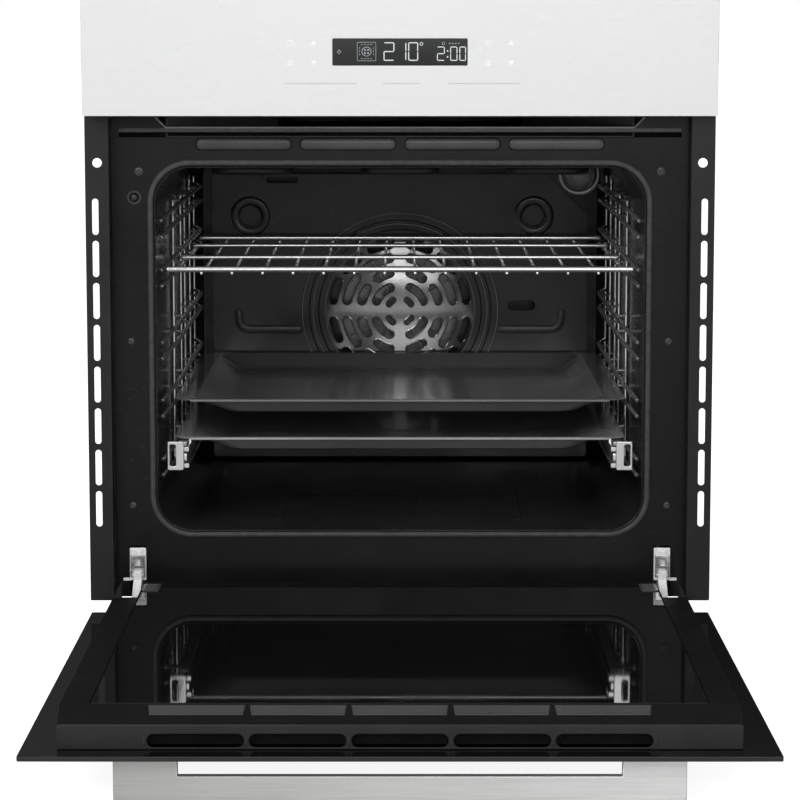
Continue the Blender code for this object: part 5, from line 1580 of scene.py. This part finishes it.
def add_casing():
    """Zinc-coated side, top, rear and base sheets, with their pressed stiffeners, vents and screws."""
    x0, x1, y0, y1, z0, z1 = span("side_panel_right")
    vents = [vent(y, z, 12, 3) for y, z in SIDE_VENTS]
    shapes = [sheet_plate((y0, y1, z0, z1), vents, "x", x0, x1, 0.35)]
    for *box, radius, sink in RIB_LOOPS:
        loop = ring_at(rounded(*box, radius, 8), "x", x1 - sink)
        shapes.append(wire(loop, RIB, closed=True, sides=16))
    publish_pair("side_sheet", shapes, "oven", ZINC, "side_panel")
    heads = [screw_head("x", y, z, x1 - 0.1, 0.6, SHEET_SCREW) for y, z in SIDE_SCREWS]
    publish_pair("side_screws", heads, "oven", STEEL)
    add_top_sheet()
    add_rear_sheet()
    add_base_sheet()


def add_top_sheet():
    x0, x1, y0, y1, z0, z1 = span("top_cover")
    slots = [vent(x, y, 12, 3.5) for x, y in TOP_SLOTS]
    shapes = [sheet_plate((x0, x1, y0, y1), slots, "z", z0, z1)]
    shapes += [wire([(-210, y, z1 - 4.4), (210, y, z1 - 4.4)], 5.2, sides=16) for y in TOP_RIBS]
    publish("top_sheet", shapes, "oven", ZINC, ("top_cover",))
    heads = [screw_head("z", x, y, z1 - 0.1, 0.8, SHEET_SCREW) for x, y in TOP_SCREWS]
    publish("top_screws", heads, "oven", STEEL)


def add_rear_sheet():
    x0, x1, y0, y1, z0, z1 = span("rear_panel")
    holes = [circle(*CORD_HOLE, 32), rounded(*TERMINAL_HOLE, 3, 4)]
    holes += [vent(x, z, 25, 3, 6) for x, z in REAR_VENTS]
    shapes = [sheet_plate((x0, x1, z0, z1), holes, "y", y0, y1)]
    for x, z in REAR_VENTS:
        shapes.append(wire([(x - 24, y1 - 1.6, z + 5), (x + 24, y1 - 1.6, z + 5)], 2.6, sides=14))
    for x in (x0, x1 - SHEET):
        shapes.append(block(x, x + SHEET, y0 - REAR_FOLD, y0 + 0.6, z0 + 1, z1 - 1, 0.4, 0.5, "x"))
    for outline in (rounded(-150, 150, 160, 420, 30, 8), circle(0, 290, 62, 48)):
        loop = ring_at(outline, "y", y1 - 4.0)
        shapes.append(wire(loop, RIB, closed=True, sides=16, up=(0, 1, 0)))
    publish("rear_sheet", shapes, "oven", ZINC, ("rear_panel",))
    heads = [screw_head("y", x, z, y1 - 0.1, 0.8, SHEET_SCREW) for x, z in REAR_SCREWS]
    publish("rear_screws", heads, "oven", STEEL)


def add_base_sheet():
    x0, x1, y0, y1, z0, z1 = span("base_plate")
    holes = [circle(x, y, 7, 24) for x, y in BASE_FEET]
    holes += [vent(x, 275, 20, 5) for x in BASE_SLOTS]
    shapes = [sheet_plate((x0, x1, y0, y1), holes, "z", z0, z1)]
    publish("base_sheet", shapes, "oven", ZINC, ("base_plate",))


# Heaters, lamp and the rest

RING_RADIUS = 86.0
GRILL_HALF = 185.0
GRILL_TAIL = 12.0
GRILL_PITCH = 75.0
GRILL_BACK = 390.0
GRILL_TURN = 60
RING_TAIL = 9.0
RING_STEPS = 48


def add_heaters():
    """The grill's one long folded tube, and the ring round the fan with its two tails."""
    _, _, y0, y1, z0, z1 = span("grill_heater")
    level = (z0 + z1) / 2
    radius = (z1 - z0) / 2
    near, middle = GRILL_HALF - GRILL_PITCH, GRILL_HALF - 2 * GRILL_PITCH
    front, turn_y = y0 + radius, GRILL_BACK - GRILL_TURN
    right = [
        (GRILL_TAIL, y1), (GRILL_TAIL, GRILL_BACK), (GRILL_HALF, GRILL_BACK), (GRILL_HALF, front),
        (near, front), (near, turn_y), (middle, turn_y), (middle, front),
    ]
    path = [(x, y, level) for x, y in right]
    path += [(-x, y, z) for x, y, z in reversed(path)]
    tube = wire(path, radius, 22, sides=12)
    publish("grill_element", [tube], "oven", HEATER, ("grill_heater",))
    _, _, y0, y1, _, _ = span("ring_heater")
    start = math.asin(RING_TAIL / RING_RADIUS)
    path = [(RING_TAIL, y1 - radius, FAN_Z + RING_RADIUS)]
    for n in range(RING_STEPS + 1):
        turn = math.pi / 2 - start - (math.tau - 2 * start) * n / RING_STEPS
        path.append((RING_RADIUS * math.cos(turn), y0 + radius, FAN_Z + RING_RADIUS * math.sin(turn)))
    path.append((-RING_TAIL, y1 - radius, FAN_Z + RING_RADIUS))
    tube = wire(path, radius, sides=12)
    publish("ring_element", [tube], "oven", HEATER, ("ring_heater",))


LAMP_X, LAMP_Z = 201.0, 386.0
LAMP_SIDES = 48
LAMP_RIB = 0.025
LAMP_DOME = 7


def add_lamp():
    """A ribbed glass cap in a metal ring."""
    x0, x1, y0, y1, _, _ = span("lamp_lens")
    radius = (x1 - x0) / 2
    profile = [
        (radius - 10, y0 + 2), (radius - 5, y0 + 7), (radius - 5, y1 - 0.2), (radius - 2.5, y1),
        (radius - 2.4, y1 - 3), (radius, y1 - 3.4), (radius, y0 + 6), (radius - 1.4, y0 + 3.4),
        (radius - 4, y0 + 1.2), (radius - 8, y0),
    ]
    rings = []
    for reach, level in profile:
        ring = []
        for n in range(LAMP_SIDES):
            turn = math.tau * n / LAMP_SIDES
            size = reach * (1 - LAMP_RIB * (n % 2)) if level < y0 + LAMP_DOME else reach
            ring.append((LAMP_X + size * math.cos(turn), level, LAMP_Z + size * math.sin(turn)))
        rings.append(ring)
    publish("lamp_cap", [loft(rings)], "oven", LAMP, ("lamp_lens",))
    back = CAVITY_BACK
    section = [(0.4, 0.2), (0.4, 3), (2.4, 3), (4, 0.2)]
    section = [(radius + out, back - proud) for out, proud in section]
    collar = hoop(section, "y", LAMP_X, LAMP_Z, 48)
    publish("lamp_collar", [collar], "oven", STEEL)


KEPT = {
    # Painted shade: the zinc air duct gets the black coat, as it lies in shade inside the outlet.
    "air_duct": (SATIN, "painted_steel"),
    "bottom_heater": (HEATER, "heater_tube"),
    "cable_gland": (PLASTIC, "black_plastic"),
    "control_panel_carrier": (PLASTIC, "black_plastic"),
    "convection_fan": (FAN_STEEL, "fan_steel"),
    "cooling_fan_housing": (ZINC, "galvanised_steel"),
    "cooling_fan_motor": (ZINC, "galvanised_steel"),
    "cooling_fan_wheel": (PLASTIC, "black_plastic"),
    "display_module": (DISPLAY_GLASS, "display_glass"),
    "door_bottom_rail": (DOOR_TRIM, "painted_steel"),
    "door_middle_glass": (DARK_GLASS, "dark_glass"),
    "door_switch": (PLASTIC, "black_plastic"),
    "fan_motor": (ZINC, "galvanised_steel"),
    "fan_shaft": (STEEL, "hinge_steel"),
    "insulation_blanket": (WOOL, "mineral_wool"),
    "lamp_bulb": (LAMP, "lamp_glass"),
    "lamp_socket": (CERAMIC, "ceramic"),
    "power_board": (BOARD, "circuit_board"),
    "temperature_probe": (HEATER, "hinge_steel"),
    "terminal_block": (CERAMIC, "ceramic"),
}


# Stage and light

WORLD_BRIGHT = 0.6
WORLD_DIM = 0.025
STAGE_GLOW = 0.9
FLOOR_SPAN = (-30, 30, -12, 40)
PLINTH_SPAN = (-0.26, 0.26, -0.2, 0.26)
LIGHTS = (
    ("key_softbox", (-1.6, -3.0, 1.9), (0, -0.3, 0.35), 1.4, 40),
    ("front_fill", (0.3, -4.2, 1.3), (0, -0.3, 0.3), 1.6, 30),
    ("right_fill", (2.2, -2.0, 1.0), (0, -0.2, 0.3), 1.2, 6),
    ("top_softbox", (0, -0.5, 2.6), (0, -0.4, 0), 2.2, 8),
)


def add_stage():
    """A pale floor far larger than the view, and a low plinth so that the body doesn't hover."""
    white = plastic("stage_white", (0.62, 0.62, 0.62), 0.7, 0.9)
    shader = white.node_tree.nodes["Principled BSDF"]
    shader.inputs["Emission Color"].default_value = (1, 1, 1, 1)
    path = white.node_tree.nodes.new("ShaderNodeLightPath")
    glow = ranged(white, path.outputs["Is Camera Ray"], 0.0, STAGE_GLOW, 0, 1)
    to_shader(white, glow, "Emission Strength")
    low = min(cad_box[0].z, 0.0)
    floor = stage_box("floor", *FLOOR_SPAN, low - 0.02, low - 0.001, white)
    plinth = stage_box("plinth", *PLINTH_SPAN, low - 0.001, -0.0003, white)


def stage_box(name, x0, x1, y0, y1, z0, z1, material):
    points = [(x, y, z) for x in (x0, x1) for y in (y0, y1) for z in (z0, z1)]
    faces = [(0, 1, 3, 2), (4, 6, 7, 5), (0, 4, 5, 1), (2, 3, 7, 6), (0, 2, 6, 4), (1, 5, 7, 3)]
    mesh = bpy.data.meshes.new(name)
    mesh.from_pydata(points, [], faces)
    mesh.materials.append(material)
    item = bpy.data.objects.new(name, mesh)
    bpy.context.scene.collection.objects.link(item)
    return item


def add_light(name, place, target, size, watts):
    data = bpy.data.lights.new(name, "AREA")
    data.shape = "SQUARE"
    data.size = size
    data.energy = watts
    item = bpy.data.objects.new(name, data)
    item.location = place
    item.rotation_euler = (Vector(target) - Vector(place)).to_track_quat("-Z", "Y").to_euler()
    bpy.context.scene.collection.objects.link(item)


def add_world():
    """A studio bright overhead and to the left, and dim round the horizon. The camera sees white."""
    world = bpy.data.worlds.new("studio")
    world.use_nodes = True
    bpy.context.scene.world = world
    tree = world.node_tree
    background = tree.nodes["Background"]
    coordinates = tree.nodes.new("ShaderNodeTexCoord")
    dot = tree.nodes.new("ShaderNodeVectorMath")
    dot.operation = "DOT_PRODUCT"
    dot.inputs[1].default_value = Vector((-0.3, -0.1, 0.95)).normalized()
    link(world, coordinates.outputs["Generated"], dot.inputs[0])
    spread = ranged(world, dot.outputs["Value"], WORLD_DIM, WORLD_BRIGHT, 0.1, 0.75)
    path = tree.nodes.new("ShaderNodeLightPath")
    level = tree.nodes.new("ShaderNodeMix")
    level.inputs["B"].default_value = 1.0
    link(world, path.outputs["Is Camera Ray"], level.inputs["Factor"])
    link(world, spread, level.inputs["A"])
    link(world, level.outputs["Result"], background.inputs["Strength"])
    background.inputs["Color"].default_value = (1, 1, 1, 1)


def light_scene():
    bpy.context.scene.view_settings.view_transform = "Standard"
    add_world()
    for light in LIGHTS:
        add_light(*light)


add_panel()
add_front_frame()
add_flanges()
add_switch()
add_cavity()
add_gasket()
add_air_panel()
add_racks()
add_shelf()
add_tray("baking_tray", "baking_tray", "upper_tray", TRAY)
add_tray("lower_tray", "telescopic_tray", "runner_carriage", LOWER_TRAY_LIGHTER)
add_runners()
add_door()
add_hinges()
add_casing()
add_heaters()
add_lamp()
for kept_node, (kept_material, kept_slot) in KEPT.items():
    keep(kept_node, kept_material)
add_stage()
light_scene()
